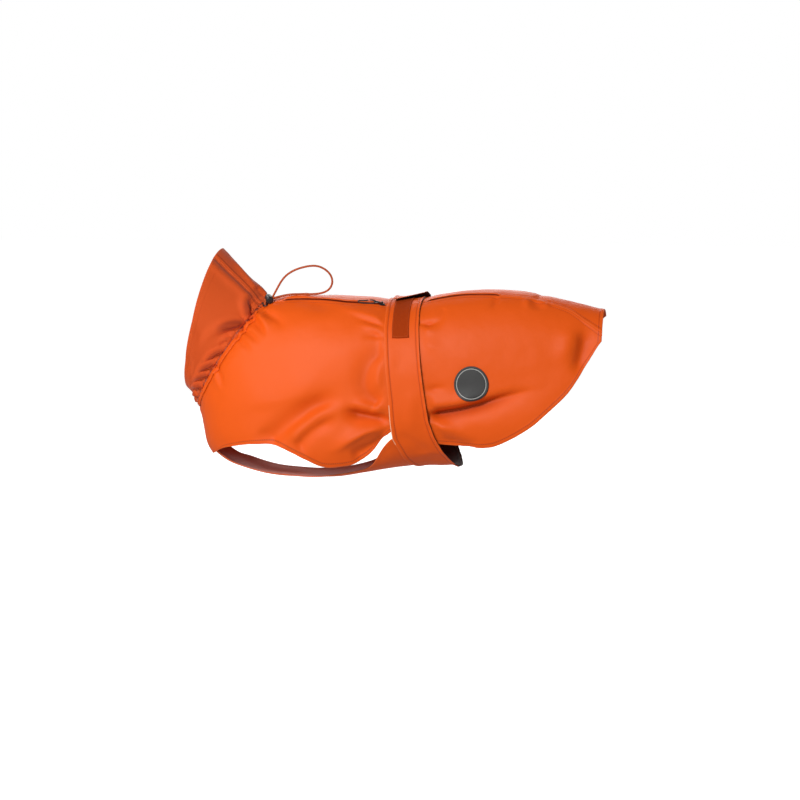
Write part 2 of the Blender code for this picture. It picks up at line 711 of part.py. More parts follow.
def make_pull():
    """The hard pull tab: an eye round the slider's pin, a neck, and a plate with a cord hole."""
    eye = cylinder((0, 0, PIN_Z), 1, EYE_R, 2.0, 16, EYE_BORE)
    half, end = TAB_WIDTH / 2, -TAB_LENGTH
    neck = box((-3.2, -1.0, PIN_Z - TAB_THICK / 2), (-1.25, 1.0, PIN_Z + TAB_THICK / 2))
    hole_x, hole_r = end + 2.8, 1.45
    rim = [(hole_x + 2.8 * math.cos(a), 2.5 * math.sin(a)) for a in np.radians(np.arange(90, 271, 22.5))]
    outline = rim + [(-3.6, -half), (-3.0, -half + 0.8), (-3.0, half - 0.8), (-3.6, half)]
    plate = prism(outline, PIN_Z - TAB_THICK / 2, PIN_Z + TAB_THICK / 2)
    made = joined("zip_pull", [eye, neck, plate], slider_frame(), "dark_metal")
    cut = cylinder((hole_x, 0, PIN_Z), 2, hole_r, 4 * TAB_THICK, 14)
    cutter = mesh_object("pull_hole", placed(slider_frame(), cut[0]), cut[1], "dark_metal")
    cutter.hide_render, cutter.display_type = True, "WIRE"
    bore = made.modifiers.new("hole", "BOOLEAN")
    bore.operation, bore.object, bore.solver = "DIFFERENCE", cutter, "EXACT"


# Route of the pull's cord, from its tail through the tab's hole and out to its loop: rearward,
# sideways and outward of the slider's pin
PULL_ROUTE = [
    (-18.0, 1.5, 1.2), (-15.0, 1.0, 1.9), (-12.2, 0.3, 1.95), (-10.4, 0.0, 1.7), (-9.3, 0.0, 1.0),
    (-9.05, 0.0, 0.0), (-9.3, 0.0, -1.0), (-10.4, 0.0, -1.75), (-13.0, -0.6, -2.3),
    (-17.0, -1.3, -2.6), (-22.0, -2.2, -2.7), (-28.0, -2.6, -2.7), (-33.0, -1.6, -2.5),
    (-34.6, 0.6, -2.4), (-33.0, 2.6, -2.3), (-29.0, 3.2, -2.0), (-24.0, 3.0, -1.2), (-20.5, 2.4, 0.0),
]


def curve_through(route, spacing):
    """Points at an even spacing on a smooth curve through a route's own points."""
    route = np.array(route, float)
    ends = np.concatenate([[2 * route[0] - route[1]], route, [2 * route[-1] - route[-2]]])
    dense = []
    for i in range(1, len(ends) - 2):
        p0, p1, p2, p3 = ends[i - 1:i + 3]
        for t in np.linspace(0, 1, 24, endpoint=False):
            dense.append(0.5 * (2 * p1 + (p2 - p0) * t + (2 * p0 - 5 * p1 + 4 * p2 - p3) * t * t
                                + (3 * p1 - p0 - 3 * p2 + p3) * t ** 3))
    dense.append(route[-1])
    dense = np.array(dense)
    run = np.concatenate([[0], np.cumsum(np.linalg.norm(np.diff(dense, axis=0), axis=1))])
    count = max(int(round(run[-1] / spacing)), 4)
    at = np.linspace(0, run[-1], count + 1)
    return np.stack([np.interp(at, run, dense[:, k]) for k in range(3)], axis=1)


def cord(name, route, diameter, finish, spacing=2.0):
    points = curve_through(route, diameter * spacing)
    data = bpy.data.curves.new(name, "CURVE")
    data.dimensions = "3D"
    spline = data.splines.new("POLY")
    spline.points.add(len(points) - 1)
    for target, point in zip(spline.points, points * MM):
        target.co = (*point, 1.0)
    data.bevel_depth = diameter / 2 * MM
    data.bevel_resolution = 2
    data.use_fill_caps = True
    made = bpy.data.objects.new(name, data)
    bpy.context.collection.objects.link(made)
    data.materials.append(material(finish))
    return made


def make_pull_cord():
    route = np.array(PULL_ROUTE) + np.array([0.0, 0.0, PIN_Z])
    cord("pull_cord", placed(slider_frame(), route), PULL_CORD, "elastic_cord", 0.9)


# Badge -----------------------------------------------------------------------------------------------

def make_badge():
    skin = Skin("side_panel_left")
    sides = 40
    inner, outer, rise = BADGE_RING
    profile = [(BADGE_R - 0.6, 1.0), (inner + (outer - inner) + 0.3, 1.0), (outer, 1 + rise / BADGE_THICK),
               (inner, 1 + rise / BADGE_THICK), (inner - 0.3, 1.0), (inner / 2, 1.0)]
    rings = [(BADGE_R / 2, 0.0), (BADGE_R, 0.0), (BADGE_R, 0.7)] + profile
    points, faces = [], []
    for radius, height in rings:
        for i in range(sides):
            angle = 2 * math.pi * i / sides
            v, d = COAT.offset(*BADGE_AT, radius * math.cos(angle), radius * math.sin(angle))
            lift = skin.over(v, d, 7.0) + GAP + height * BADGE_THICK
            points.append(COAT.point(v, d) + COAT.normal(v, d) * lift)
    for k in range(len(rings) - 1):
        for i in range(sides):
            j = (i + 1) % sides
            faces.append((k * sides + i, k * sides + j, (k + 1) * sides + j, (k + 1) * sides + i))
    for k, height in ((0, 0.0), (len(rings) - 1, 1.0)):
        lift = skin.over(*BADGE_AT, 7.0) + GAP + height * BADGE_THICK
        points.append(COAT.point(*BADGE_AT) + COAT.normal(*BADGE_AT) * lift)
        hub = len(points) - 1
        faces += [(k * sides + i, k * sides + (i + 1) % sides, hub) for i in range(sides)]
    mesh_object("badge", points, faces, "badge_rubber", 30)


# Cord lock, eyelets and elastic cord ---------------------------------------------------------------------

LOCK_LIFT = LOCK_R + GAP
SLOT = (8.6, 4.9)       # the slot that both strands pass through: along the barrel, and outward


def lock_frame():
    """Local axes: rearward is the way the strands leave, sideways is the barrel's own axis."""
    place, _, down, out = COAT.frame(*LOCK_AT)
    ahead = COAT.point(LOCK_AT[0] + 0.4, LOCK_AT[1] - 4) - COAT.point(LOCK_AT[0] - 0.2, LOCK_AT[1] + 2)
    rear = unit(ahead - out * (ahead @ out))
    return place + out * LOCK_LIFT, rear, np.cross(out, rear), out


def make_lock():
    barrel = []
    for radius, at in [(LOCK_R * 0.80, -0.5), (LOCK_R, -0.42), (LOCK_R, 0.42), (LOCK_R * 0.88, 0.5)]:
        barrel.append((radius, at * LOCK_LENGTH))
    points, faces = lathe(barrel, 20)
    made = joined("cord_lock", [(points, faces)], lock_frame(), "black_plastic", 35)
    long, high = SLOT
    cut = box((-LOCK_R * 2, -long / 2, -high / 2), (LOCK_R * 2, long / 2, high / 2))
    cutter = mesh_object("lock_slot", placed(lock_frame(), cut[0]), cut[1], "black_plastic")
    cutter.hide_render, cutter.display_type = True, "WIRE"
    slot = made.modifiers.new("slot", "BOOLEAN")
    slot.operation, slot.object, slot.solver = "DIFFERENCE", cutter, "EXACT"
    start = LOCK_LENGTH / 2 + GAP
    button = [(BUTTON_R, start), (BUTTON_R, start + BUTTON_LENGTH * 0.8),
              (BUTTON_R * 0.75, start + BUTTON_LENGTH)]
    points, faces = lathe(button, 18)
    joined("lock_button", [(points, faces)], lock_frame(), "black_plastic", 35)


def make_eyelets():
    """Two eyelets either side of the back seam, where the elastic comes out of the casing."""
    for name, side in (("eyelet_left", NEAR), ("eyelet_right", FAR)):
        centre = (EYELET_AHEAD, side * EYELET_APART, GAP * 1.5 + EYELET_THICK / 2 - LOCK_LIFT)
        points, faces = cylinder(centre, 2, EYELET_R, EYELET_THICK, 24, EYELET_BORE)
        mesh_object(name, placed(lock_frame(), points), faces, "dark_metal")


def make_elastic():
    """One cord: out of an eyelet, through the lock, round its free loop, back and down."""
    strand, low = SLOT[0] / 4, 0.4 - LOCK_LIFT
    rise = [(EYELET_AHEAD, EYELET_APART, low), (EYELET_AHEAD - 0.2, EYELET_APART, low + 1.6),
            (EYELET_AHEAD + 0.7, EYELET_APART - 0.9, low + 3.9), (-5.4, strand + 0.2, -0.25),
            (-2.5, strand, 0.0), (2.5, strand, 0.0), (5.8, strand, 0.1)]
    there = placed(lock_frame(), rise)
    back = placed(lock_frame(), [(r, -s, h) for r, s, h in rise])[::-1]
    cord("elastic_cord", np.concatenate([there, np.array(LOOP_ROUTE, float), back]), ELASTIC,
         "elastic_cord", 1.25)


def lathe(profile, sides):
    """A solid turned about the local sideways axis through radius and place pairs."""
    points, faces = [], []
    for radius, at in profile:
        for i in range(sides):
            angle = 2 * math.pi * i / sides
            points.append((radius * math.cos(angle), at, radius * math.sin(angle)))
    for k in range(len(profile) - 1):
        for i in range(sides):
            j = (i + 1) % sides
            faces.append((k * sides + i, k * sides + j, (k + 1) * sides + j, (k + 1) * sides + i))
    faces.append(tuple(range(sides)))
    faces.append(tuple(range((len(profile) - 1) * sides, len(profile) * sides)))
    return points, faces


def main():
    for old in list(bpy.data.objects):
        bpy.data.objects.remove(old)
    make_panels()
    make_collar()
    make_casing()
    make_belly_panel()
    make_band()
    make_zip_chain()
    make_slider()
    make_pull()
    make_pull_cord()
    make_badge()
    make_lock()
    make_eyelets()
    make_elastic()


main()
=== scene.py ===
"""Dog raincoat: the looks of each piece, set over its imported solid.

Row frame: +X towards the tail, -Y the wearer's left side, +Z up. Tables and sizes are in
millimetres, and meshes are made in metres.
"""

import math

import bmesh
import bpy
import numpy as np
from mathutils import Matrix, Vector, noise


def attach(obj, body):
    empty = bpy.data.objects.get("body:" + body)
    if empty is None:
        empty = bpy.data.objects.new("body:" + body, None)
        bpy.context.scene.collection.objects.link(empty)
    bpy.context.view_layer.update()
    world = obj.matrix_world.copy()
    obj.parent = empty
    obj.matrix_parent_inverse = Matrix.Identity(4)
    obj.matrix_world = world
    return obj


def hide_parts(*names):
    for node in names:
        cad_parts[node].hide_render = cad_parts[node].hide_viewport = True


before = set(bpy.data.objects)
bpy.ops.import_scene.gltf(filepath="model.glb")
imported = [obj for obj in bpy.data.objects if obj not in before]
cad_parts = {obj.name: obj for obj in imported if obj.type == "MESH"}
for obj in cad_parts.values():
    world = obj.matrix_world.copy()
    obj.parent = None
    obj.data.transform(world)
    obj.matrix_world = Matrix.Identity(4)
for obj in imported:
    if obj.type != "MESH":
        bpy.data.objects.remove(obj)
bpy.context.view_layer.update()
MM = 0.001

# Side panels ---------------------------------------------------------------------------------
# Two panels of polyester cloth with a satin rubbery coating, each from neck to tail. They are sewn
# together along the back, left of the spine, and at the chest. The hem is turned 7 mm and
# topstitched; the cloth hangs smooth and folds only where the belly band and the neck pull it.

CLOTH = 1.0             # wall of the cloth
HEM, HEM_STITCH = 7.0, 6.0      # turned hem, and its topstitching from the edge
GROOVE_SHADE = 0.8      # how dark the shade painted into a stitched groove is
HOLLOW_SHADE = 0.7      # and that painted into the bottom of a deep fold
CASING_SUNK = 1.2       # how far the neck casing draws the panels in
SECTIONS = [  # closed curves from neck to tail; n is 2 for an ellipse and more for a fuller curve
    # top_x, top_z, low_x, low_z, half_w, up_n, low_n, bow
    (-191, 0, -294, -153, 58, 2.0, 2.0, 9),
    (-171, 3, -289, -176, 72, 2.1, 2.1, 5),
    (-148, 5, -276, -222, 84, 2.1, 2.4, 0),
    (-116, 5, -236, -245, 91, 2.2, 2.8, 0),
    (-80, 5, -170, -259, 95, 2.2, 3.0, 0),
    (-38, 3, -84, -259, 96, 2.2, 2.8, 0),
    (12, -1, 8, -243, 94, 2.2, 2.4, 0),
    (64, 9, 76, -236, 92, 2.2, 2.4, 0),
    (123, 16, 152, -244, 90, 2.2, 2.4, 0),
    (181, 14, 220, -240, 84, 2.2, 2.4, 0),
    (241, 2, 268, -222, 74, 2.2, 2.4, 0),
    (296, -11, 294, -190, 58, 2.2, 2.4, 0),
]
CHEST, TAIL = 2.0, 11.0         # sections where the chest seam ends, and of the tail hem
BACK_SEAM = [  # section, distance from the spine
    (0, 28), (2, 26), (3.2, 28), (4.2, 36), (5.4, 35), (6.6, 29),
    (7.5, 26), (8.5, 31), (9.5, 30), (10.05, 34), (10.5, 47), (11, 57),
]
HEM_LINE = [  # section, distance from the spine
    (2.0, 348), (2.36, 300), (2.8, 284), (3.3, 274), (3.8, 271), (4.12, 276), (4.46, 284),
    (4.75, 291), (5.03, 289), (5.29, 282), (5.54, 266), (5.76, 241), (5.95, 230), (6.2, 236),
    (6.47, 248), (6.91, 261), (7.5, 267), (7.9, 266), (8.2, 258), (8.6, 242), (9.01, 221),
    (9.76, 174), (10.2, 140), (10.62, 105), (10.9, 78), (11, 69),
]
RIGHT_HEM_RISE = [(2, 0), (4, 34), (11, 34)]    # section, how much higher the right hem hangs
HEM_FLARE = [  # section, how far the hem stands out
    (2, 0), (3, 4), (4, 8), (4.75, 10), (5.3, 8), (5.7, 0), (6.6, 0), (7.2, 3), (8, 6), (9, 6),
    (10, 4), (11, 0),
]
BAND_EDGES = [
    # distance from the spine, section of the front edge, section of the rear edge
    (0, 5.48, 6.50), (30, 5.50, 6.48), (52, 5.53, 6.47), (81, 5.57, 6.48), (106, 5.63, 6.51),
    (144, 5.72, 6.56), (186, 5.81, 6.64), (219, 5.85, 6.70), (243, 5.89, 6.80), (260, 5.99, 6.89),
    (283, 6.09, 7.03), (304, 6.22, 7.13), (328, 6.33, 7.20), (352, 6.36, 7.23),
]
BAND_CLEAR = (0.04, 0.22)       # start and length of the way in which folds die out at the band
ZIP = (1.45, 8.35)      # sections between which the zip lies
SLIT, SEAM_GAP, HEM_GAP = 2.6, 0.03, 0.15       # between the panels: at the zip, elsewhere, below

# Folds in side view: a line of (x, z), its width left and right of the line, its height (below 0
# is a trough), how sharp it is (2 is round), and how much of it fades at each end
LEFT_FOLDS = [
    # line, width left, width right, height, power, fade in, fade out
    (((-242, -154), (-207, -144), (-157, -134), (-112, -125), (-77, -122)), 30, 14, 3.2, 2, .4, .3),
    (((-68, -126), (-106, -141), (-130, -159), (-157, -180), (-181, -199)), 12, 16, -5.0, 2, .35, .1),
    (((-64, -146), (-99, -157), (-126, -175), (-149, -198)), 10, 9, 2.6, 2, .3, .2),
    (((-75, -160), (-113, -181), (-136, -206)), 9, 9, -3.0, 1.8, .35, .1),
    (((2, -152), (-24, -147), (-46, -142), (-63, -146)), 16, 6, 3.0, 1.8, .0, .4),
    (((4, -165), (-22, -161), (-46, -157), (-72, -150)), 13, 8, -9.0, 1.5, .0, .35),
    (((4, -173), (-27, -177), (-53, -188), (-76, -202), (-96, -210)), 6, 10, 5.0, 1.5, .0, .4),
    (((-4, -190), (-34, -204), (-60, -216)), 9, 9, -3.5, 1.8, .1, .2),
    (((-8, -29), (-38, -19), (-71, -10), (-97, -3)), 4, 7, 1.9, 1.6, .0, .6),
    (((-8, -34), (-36, -25), (-66, -17)), 4, 4, -1.8, 1.5, .0, .6),
    (((-8, -41), (-35, -33), (-58, -28)), 4, 6, 1.7, 1.6, .0, .6),
    (((-6, -47), (-29, -44), (-50, -47)), 5, 5, -1.8, 1.6, .0, .6),
    (((-6, -66), (-27, -76), (-38, -98), (-36, -122), (-14, -143)), 10, 18, -3.2, 1.7, .1, .1),
    (((-4, -79), (-17, -100), (-13, -124)), 7, 7, 1.8, 1.8, .1, .3),
    (((-213, -22), (-196, -34), (-178, -50)), 4, 6, -3.0, 1.4, .0, .6),
    (((-206, -18), (-190, -26), (-172, -36)), 6, 5, 1.8, 1.8, .1, .6),
    (((-224, -39), (-206, -48), (-190, -60)), 4, 5, -2.6, 1.4, .0, .6),
    (((-230, -50), (-214, -62), (-203, -74)), 4, 5, -1.8, 1.5, .0, .6),
    (((-192, -14), (-168, -26), (-152, -40)), 5, 6, -2.2, 1.6, .1, .6),
    (((-198, -20), (-185, -36), (-180, -54)), 4, 5, 1.4, 1.8, .1, .6),
    (((-262, -88), (-254, -106), (-244, -124)), 4, 5, -2.2, 1.4, .0, .5),
    (((-262, -104), (-254, -120), (-248, -134)), 5, 4, 1.2, 1.8, .0, .6),
    (((-144, -4), (-109, -6), (-74, -14)), 7, 9, -1.4, 1.8, .5, .5),
    (((-194, -178), (-182, -194), (-176, -206)), 8, 8, -2.4, 1.8, .5, .0),
    (((30, -161), (51, -159), (80, -153), (105, -147), (131, -139), (161, -129), (190, -121),
      (216, -118)), 6, 13, -9.5, 1.4, .0, .55),
    (((34, -141), (80, -139), (110, -134), (144, -125), (176, -115)), 12, 7, 3.6, 1.8, .1, .6),
    (((34, -168), (60, -170), (84, -175), (112, -185)), 7, 11, 5.0, 1.6, .0, .6),
    (((60, -190), (95, -198), (128, -204)), 10, 10, -2.2, 1.8, .4, .3),
    (((34, -27), (53, -27), (70, -21)), 3, 4, -3.2, 1.4, .0, .6),
    (((34, -35), (52, -37), (66, -33)), 5, 5, 1.8, 1.6, .0, .6),
    (((36, -50), (60, -60), (84, -66)), 8, 8, 1.2, 1.8, .0, .7),
    (((42, -122), (63, -118), (84, -114)), 5, 6, -1.8, 1.6, .0, .6),
    (((272, -30), (271, -54), (267, -78), (260, -104)), 14, 10, -4.5, 1.8, .3, .4),
    (((251, -28), (249, -57), (242, -92)), 13, 14, 2.4, 2, .3, .5),
    (((198, 12), (203, 3), (202, -10)), 9, 10, -1.5, 1.8, .3, .4),
    (((186, 10), (188, 2), (184, -6)), 6, 5, 1.6, 1.8, .2, .5),
    (((217, 8), (216, 0), (219, -8)), 5, 7, 1.8, 1.8, .2, .5),
    (((72, -4), (68, -20), (65, -38)), 5, 6, -0.9, 1.8, .2, .5),
    (((146, 12), (142, 2), (140, -8)), 4, 4, -1.6, 1.5, .2, .6),
]
RIGHT_FOLDS = [
    (((-154, 8), (-147, 7), (-140, 5)), 12, 12, 2.2, 2, .0, .0),
    (((-236, -142), (-196, -136), (-140, -122), (-92, -116)), 26, 14, 3.2, 2, .4, .3),
    (((-92, -116), (-120, -134), (-146, -156), (-170, -172)), 12, 15, -4.6, 2, .35, .1),
    (((-60, -138), (-96, -150), (-128, -170)), 10, 9, 2.4, 2, .3, .2),
    (((2, -144), (-30, -140), (-56, -148), (-80, -166)), 8, 10, -7.0, 1.5, .0, .35),
    (((2, -156), (-34, -164), (-70, -180)), 6, 9, 3.6, 1.5, .0, .4),
    (((-8, -30), (-42, -24), (-80, -22)), 5, 6, -1.9, 1.6, .0, .6),
    (((-8, -42), (-36, -40), (-62, -44)), 5, 6, 1.7, 1.6, .0, .6),
    (((-6, -70), (-30, -86), (-34, -112), (-12, -132)), 10, 16, -2.8, 1.7, .1, .1),
    (((-208, -20), (-190, -34), (-172, -46)), 4, 6, -2.6, 1.4, .0, .6),
    (((-224, -42), (-206, -54), (-188, -62)), 4, 5, -2.2, 1.4, .0, .6),
    (((-256, -92), (-246, -112), (-240, -128)), 4, 5, -1.9, 1.4, .0, .5),
    (((30, -140), (62, -137), (100, -128), (144, -116), (176, -112)), 6, 12, -7.5, 1.4, .0, .55),
    (((34, -122), (80, -118), (126, -106)), 12, 7, 3.0, 1.8, .1, .6),
    (((34, -150), (72, -155), (110, -160)), 7, 10, 4.0, 1.6, .0, .6),
    (((34, -30), (58, -33), (74, -28)), 3, 4, -2.8, 1.4, .0, .6),
    (((266, -26), (264, -52), (258, -88)), 14, 10, -4.0, 1.8, .3, .4),
    (((244, -26), (240, -54), (232, -84)), 13, 14, 2.2, 2, .3, .5),
    (((198, 12), (203, 3), (202, -10)), 9, 10, -1.5, 1.8, .3, .4),
]


def read(table, v, window=0.06, column=1):
    """A column of a table at v, with its corners rounded over a short window."""
    rows = np.array(table, float)
    steps = window * np.linspace(-1, 1, 7)
    return np.mean([np.interp(v + step, rows[:, 0], rows[:, column]) for step in steps], axis=0)


def ease(x, low, high):
    t = np.clip((np.asarray(x, float) - low) / (high - low), 0, 1)
    return t * t * (3 - 2 * t)


def normalised(vectors):
    return vectors / np.maximum(np.linalg.norm(vectors, axis=-1, keepdims=True), 1e-9)


def travelled(points):
    """Length along a line up to each of its points."""
    return np.concatenate([[0], np.cumsum(np.linalg.norm(np.diff(points, axis=0), axis=1))])


def smooth_line(points, count):
    """Evenly spread points on a Catmull-Rom curve through the given ones."""
    points = np.array(points, float)
    ends = np.concatenate([[2 * points[0] - points[1]], points, [2 * points[-1] - points[-2]]])
    t = np.linspace(0, 1, 16, endpoint=False)[:, None]
    dense = [0.5 * (2 * b + (c - a) * t + (2 * a - 5 * b + 4 * c - d) * t**2
                    + (3 * b - a - 3 * c + d) * t**3)
             for a, b, c, d in zip(ends, ends[1:], ends[2:], ends[3:])]
    dense = np.concatenate([*dense, points[-1:]])
    run = travelled(dense)
    at = np.linspace(0, run[-1], count)
    return np.stack([np.interp(at, run, dense[:, k]) for k in range(dense.shape[1])], axis=1)


class Form:
    """A hollow form through closed sections. A point on it is found by its section and by its
    distance along the cloth from the spine line, positive on the left side."""

    STEP, SHARES = 0.02, 200

    def __init__(self, sections):
        rows = np.array(sections, float)
        self.last = len(rows) - 1
        self.v = np.linspace(0, self.last, int(self.last / self.STEP) + 1)
        i = np.clip(np.floor(self.v).astype(int), 0, self.last - 1)
        f = (self.v - i)[:, None]
        ends = np.concatenate([[2 * rows[0] - rows[1]], rows, [2 * rows[-1] - rows[-2]]])
        a, b, c, d = (ends[i + k] for k in range(4))
        rows = 0.5 * (2 * b + (c - a) * f + (2 * a - 5 * b + 4 * c - d) * f**2
                      + (3 * b - a - 3 * c + d) * f**3)
        angle = np.linspace(0, math.pi, 3 * self.SHARES + 1)
        table, halves = [], []
        for top_x, top_z, low_x, low_z, half_w, up_n, low_n, bow in rows:
            power = 2 / np.where(np.cos(angle) >= 0, up_n, low_n)
            down = np.sign(np.cos(angle)) * np.abs(np.cos(angle)) ** power
            out = np.abs(np.sin(angle)) ** power
            points = np.stack([(top_x + low_x) / 2 + (top_x - low_x) / 2 * down - bow * out,
                               -half_w * out,
                               (top_z + low_z) / 2 + (top_z - low_z) / 2 * down], axis=1)
            run = travelled(points)
            at = np.linspace(0, run[-1], self.SHARES + 1)
            table.append(np.stack([np.interp(at, run, points[:, k]) for k in range(3)], axis=1))
            halves.append(run[-1])
        self.table, self.halves = np.array(table), np.array(halves)

    def half(self, v):
        return np.interp(v, self.v, self.halves)

    def point(self, v, distance):
        v, distance = np.broadcast_arrays(np.asarray(v, float), np.asarray(distance, float))
        half = self.half(v)
        side = np.where(distance >= 0, 1.0, -1.0)
        reach = np.abs(distance)
        side, reach = np.where(reach > half, -side, side), np.where(reach > half, 2 * half - reach, reach)
        a = np.clip(v / self.last * (len(self.v) - 1), 0, len(self.v) - 1.0001)
        b = np.clip(reach / half * self.SHARES, 0, self.SHARES - 1e-4)
        i, j = a.astype(int), b.astype(int)
        a, b = (a - i)[..., None], (b - j)[..., None]
        t = self.table
        found = (t[i, j] * (1 - a) * (1 - b) + t[i + 1, j] * a * (1 - b)
                 + t[i, j + 1] * (1 - a) * b + t[i + 1, j + 1] * a * b)
        found[..., 1] *= side
        return found

    def tangents(self, v, distance):
        v = np.clip(v, 0.05, self.last - 0.05)
        along = self.point(v + 0.05, distance) - self.point(v - 0.05, distance)
        down = self.point(v, np.asarray(distance) + 2.5) - self.point(v, np.asarray(distance) - 2.5)
        return along / 0.1, down / 5.0

    def normal(self, v, distance):
        along, down = self.tangents(v, distance)
        return normalised(np.cross(down, along))

    def offset(self, v, distance, rearward, downward):
        """Section and distance of a point some millimetres away along the face."""
        along, down = self.tangents(v, distance)
        rear = normalised(along)
        low = normalised(down - rear * np.sum(down * rear, axis=-1, keepdims=True))
        want = rear * np.asarray(rearward)[..., None] + low * np.asarray(downward)[..., None]
        aa, ab, bb = (np.sum(p * q, axis=-1) for p, q in ((along, along), (along, down), (down, down)))
        wa, wb = np.sum(want * along, axis=-1), np.sum(want * down, axis=-1)
        turn = aa * bb - ab * ab
        return v + (wa * bb - wb * ab) / turn, distance + (wb * aa - wa * ab) / turn


COAT = Form(SECTIONS)


def folded(flat, folds):
    """Height of a set of folds at points of a plane."""
    height = np.zeros(flat.shape[:-1])
    for line, left, right, rise, power, fade_in, fade_out in folds:
        line = smooth_line(line, 4 * len(line) + 1)
        best = np.full(height.shape, 1e9)
        share = np.zeros(height.shape)
        width = np.full(height.shape, float(left))
        for k, (a, b) in enumerate(zip(line, line[1:])):
            run = b - a
            t = np.clip(((flat - a) @ run) / (run @ run), 0, 1)
            gap = flat - a - t[..., None] * run
            away = np.hypot(gap[..., 0], gap[..., 1])
            near = away < best
            best = np.where(near, away, best)
            share = np.where(near, (k + t) / (len(line) - 1), share)
            turn = run[0] * gap[..., 1] - run[1] * gap[..., 0]
            blend = 0.5 + 0.5 * np.tanh(turn / np.linalg.norm(run) / 2.0)
            width = np.where(near, right + (left - right) * blend, width)
        strength = np.ones(height.shape)
        if fade_in:
            strength = strength * (0.15 + 0.85 * ease(share, 0, fade_in))
        if fade_out:
            strength = strength * (0.02 + 0.98 * ease(1 - share, 0, fade_out))
        height += rise * strength * np.exp(-((best / width) ** 2 + 0.02) ** (power / 2))
    return height


def drift(points, size, seed):
    """Slow uneven swell of the cloth, about -1 to 1."""
    flat = points.reshape(-1, 3) / size
    values = [noise.noise(Vector((p[0] + seed, p[1], p[2]))) for p in flat]
    return np.array(values).reshape(points.shape[:-1]) * 1.6


def band_edge(reach, column):
    rows = np.array(BAND_EDGES, float)
    return np.interp(np.abs(reach), rows[:, 0], rows[:, column])


def off_band(v, distance):
    """0 under the belly band, 1 away from it."""
    before, behind = band_edge(distance, 1) - v, v - band_edge(distance, 2) - BAND_CLEAR[0]
    return ease(np.maximum(before, behind), 0.0, BAND_CLEAR[1])


def back_seam(v):
    return read(BACK_SEAM, v, 0.09)


def seam_line(v, side):
    zipped = ease(v, ZIP[0] - 0.1, ZIP[0]) * (1 - ease(v, ZIP[1], ZIP[1] + 0.1))
    return back_seam(v) + side * (SEAM_GAP + (SLIT - SEAM_GAP) / 2 * zipped)


def hem_line(v, side):
    section = 26.0      # length that a section counts for, beside the reach in millimetres
    curve = smooth_line([(at * section, reach) for at, reach in HEM_LINE], 600)
    reach = np.interp(v, curve[:, 0] / section, curve[:, 1])
    lowest = COAT.half(v) - HEM_GAP
    reach = np.where(v <= CHEST, lowest, np.minimum(reach, lowest))
    return side * (reach - (read(RIGHT_HEM_RISE, v, 0.09) if side < 0 else 0))


TROUGH, RIDGE = 1.8, 1.45       # how much deeper the cloth folds than its solid
SWELLS = ((0.7, 62.0, 4.0), (0.25, 24.0, 9.0))      # rise, size and seed of its slow unevenness


def panel_lift(v, distance, to_hem, side):
    """Height of a side panel's outer face over the form."""
    points = COAT.point(v, distance)
    lift = folded(points[..., [0, 2]], LEFT_FOLDS if side > 0 else RIGHT_FOLDS)
    lift = np.where(lift < 0, lift * TROUGH, lift * RIDGE)
    lift *= ease(np.abs(distance - seam_line(v, side)), -2.0, 9.0)
    lift += read(HEM_FLARE, v) * ease(to_hem, 0.62, 1.0)
    for rise, size, seed in SWELLS:
        lift += rise * drift(points, size, seed)
    free = off_band(v, distance)
    return np.where(lift > 0, lift * free, lift * (0.35 + 0.65 * free)), points


def groove(away, half_width=0.7):
    """1 along a row of stitching, fading to either side."""
    return np.exp(-(away / half_width) ** 2)


def edge_steps(width, count):
    """Places across a piece, close together at both turned edges."""
    near = np.array([0, 0.35, 0.9, 2.0, 3.6, 5.2, 6.0, 6.8, 8.0])
    near = near * min(1.0, width / 2 / near[-1] * 0.96)
    return np.concatenate([near, np.linspace(near[-1], width - near[-1], count + 2)[1:-1],
                           (width - near)[::-1]])


def grid_normals(grid, out):
    """Normals of a grid of points, each on the side that out gives."""
    normals = normalised(np.cross(np.gradient(grid, axis=0), np.gradient(grid, axis=1)))
    return np.where(np.sum(normals * out, axis=-1, keepdims=True) < 0, -normals, normals)


def link(name, data):
    made = bpy.data.objects.new(name, data)
    bpy.context.scene.collection.objects.link(made)
    return made


def mesh_of(name, points, faces=()):
    made = bpy.data.meshes.new(name)
    made.from_pydata((points * MM).tolist(), [], faces)
    return made


def lay_out(mesh, places):
    """Each point's place on the flat cloth, in millimetres, as the map that weave and braid use."""
    corners = np.empty(len(mesh.loops), np.int32)
    mesh.loops.foreach_get("vertex_index", corners)
    spread = (places * MM)[corners].astype(np.float32)
    mesh.uv_layers.new(name="cloth").data.foreach_set("uv", spread.ravel())


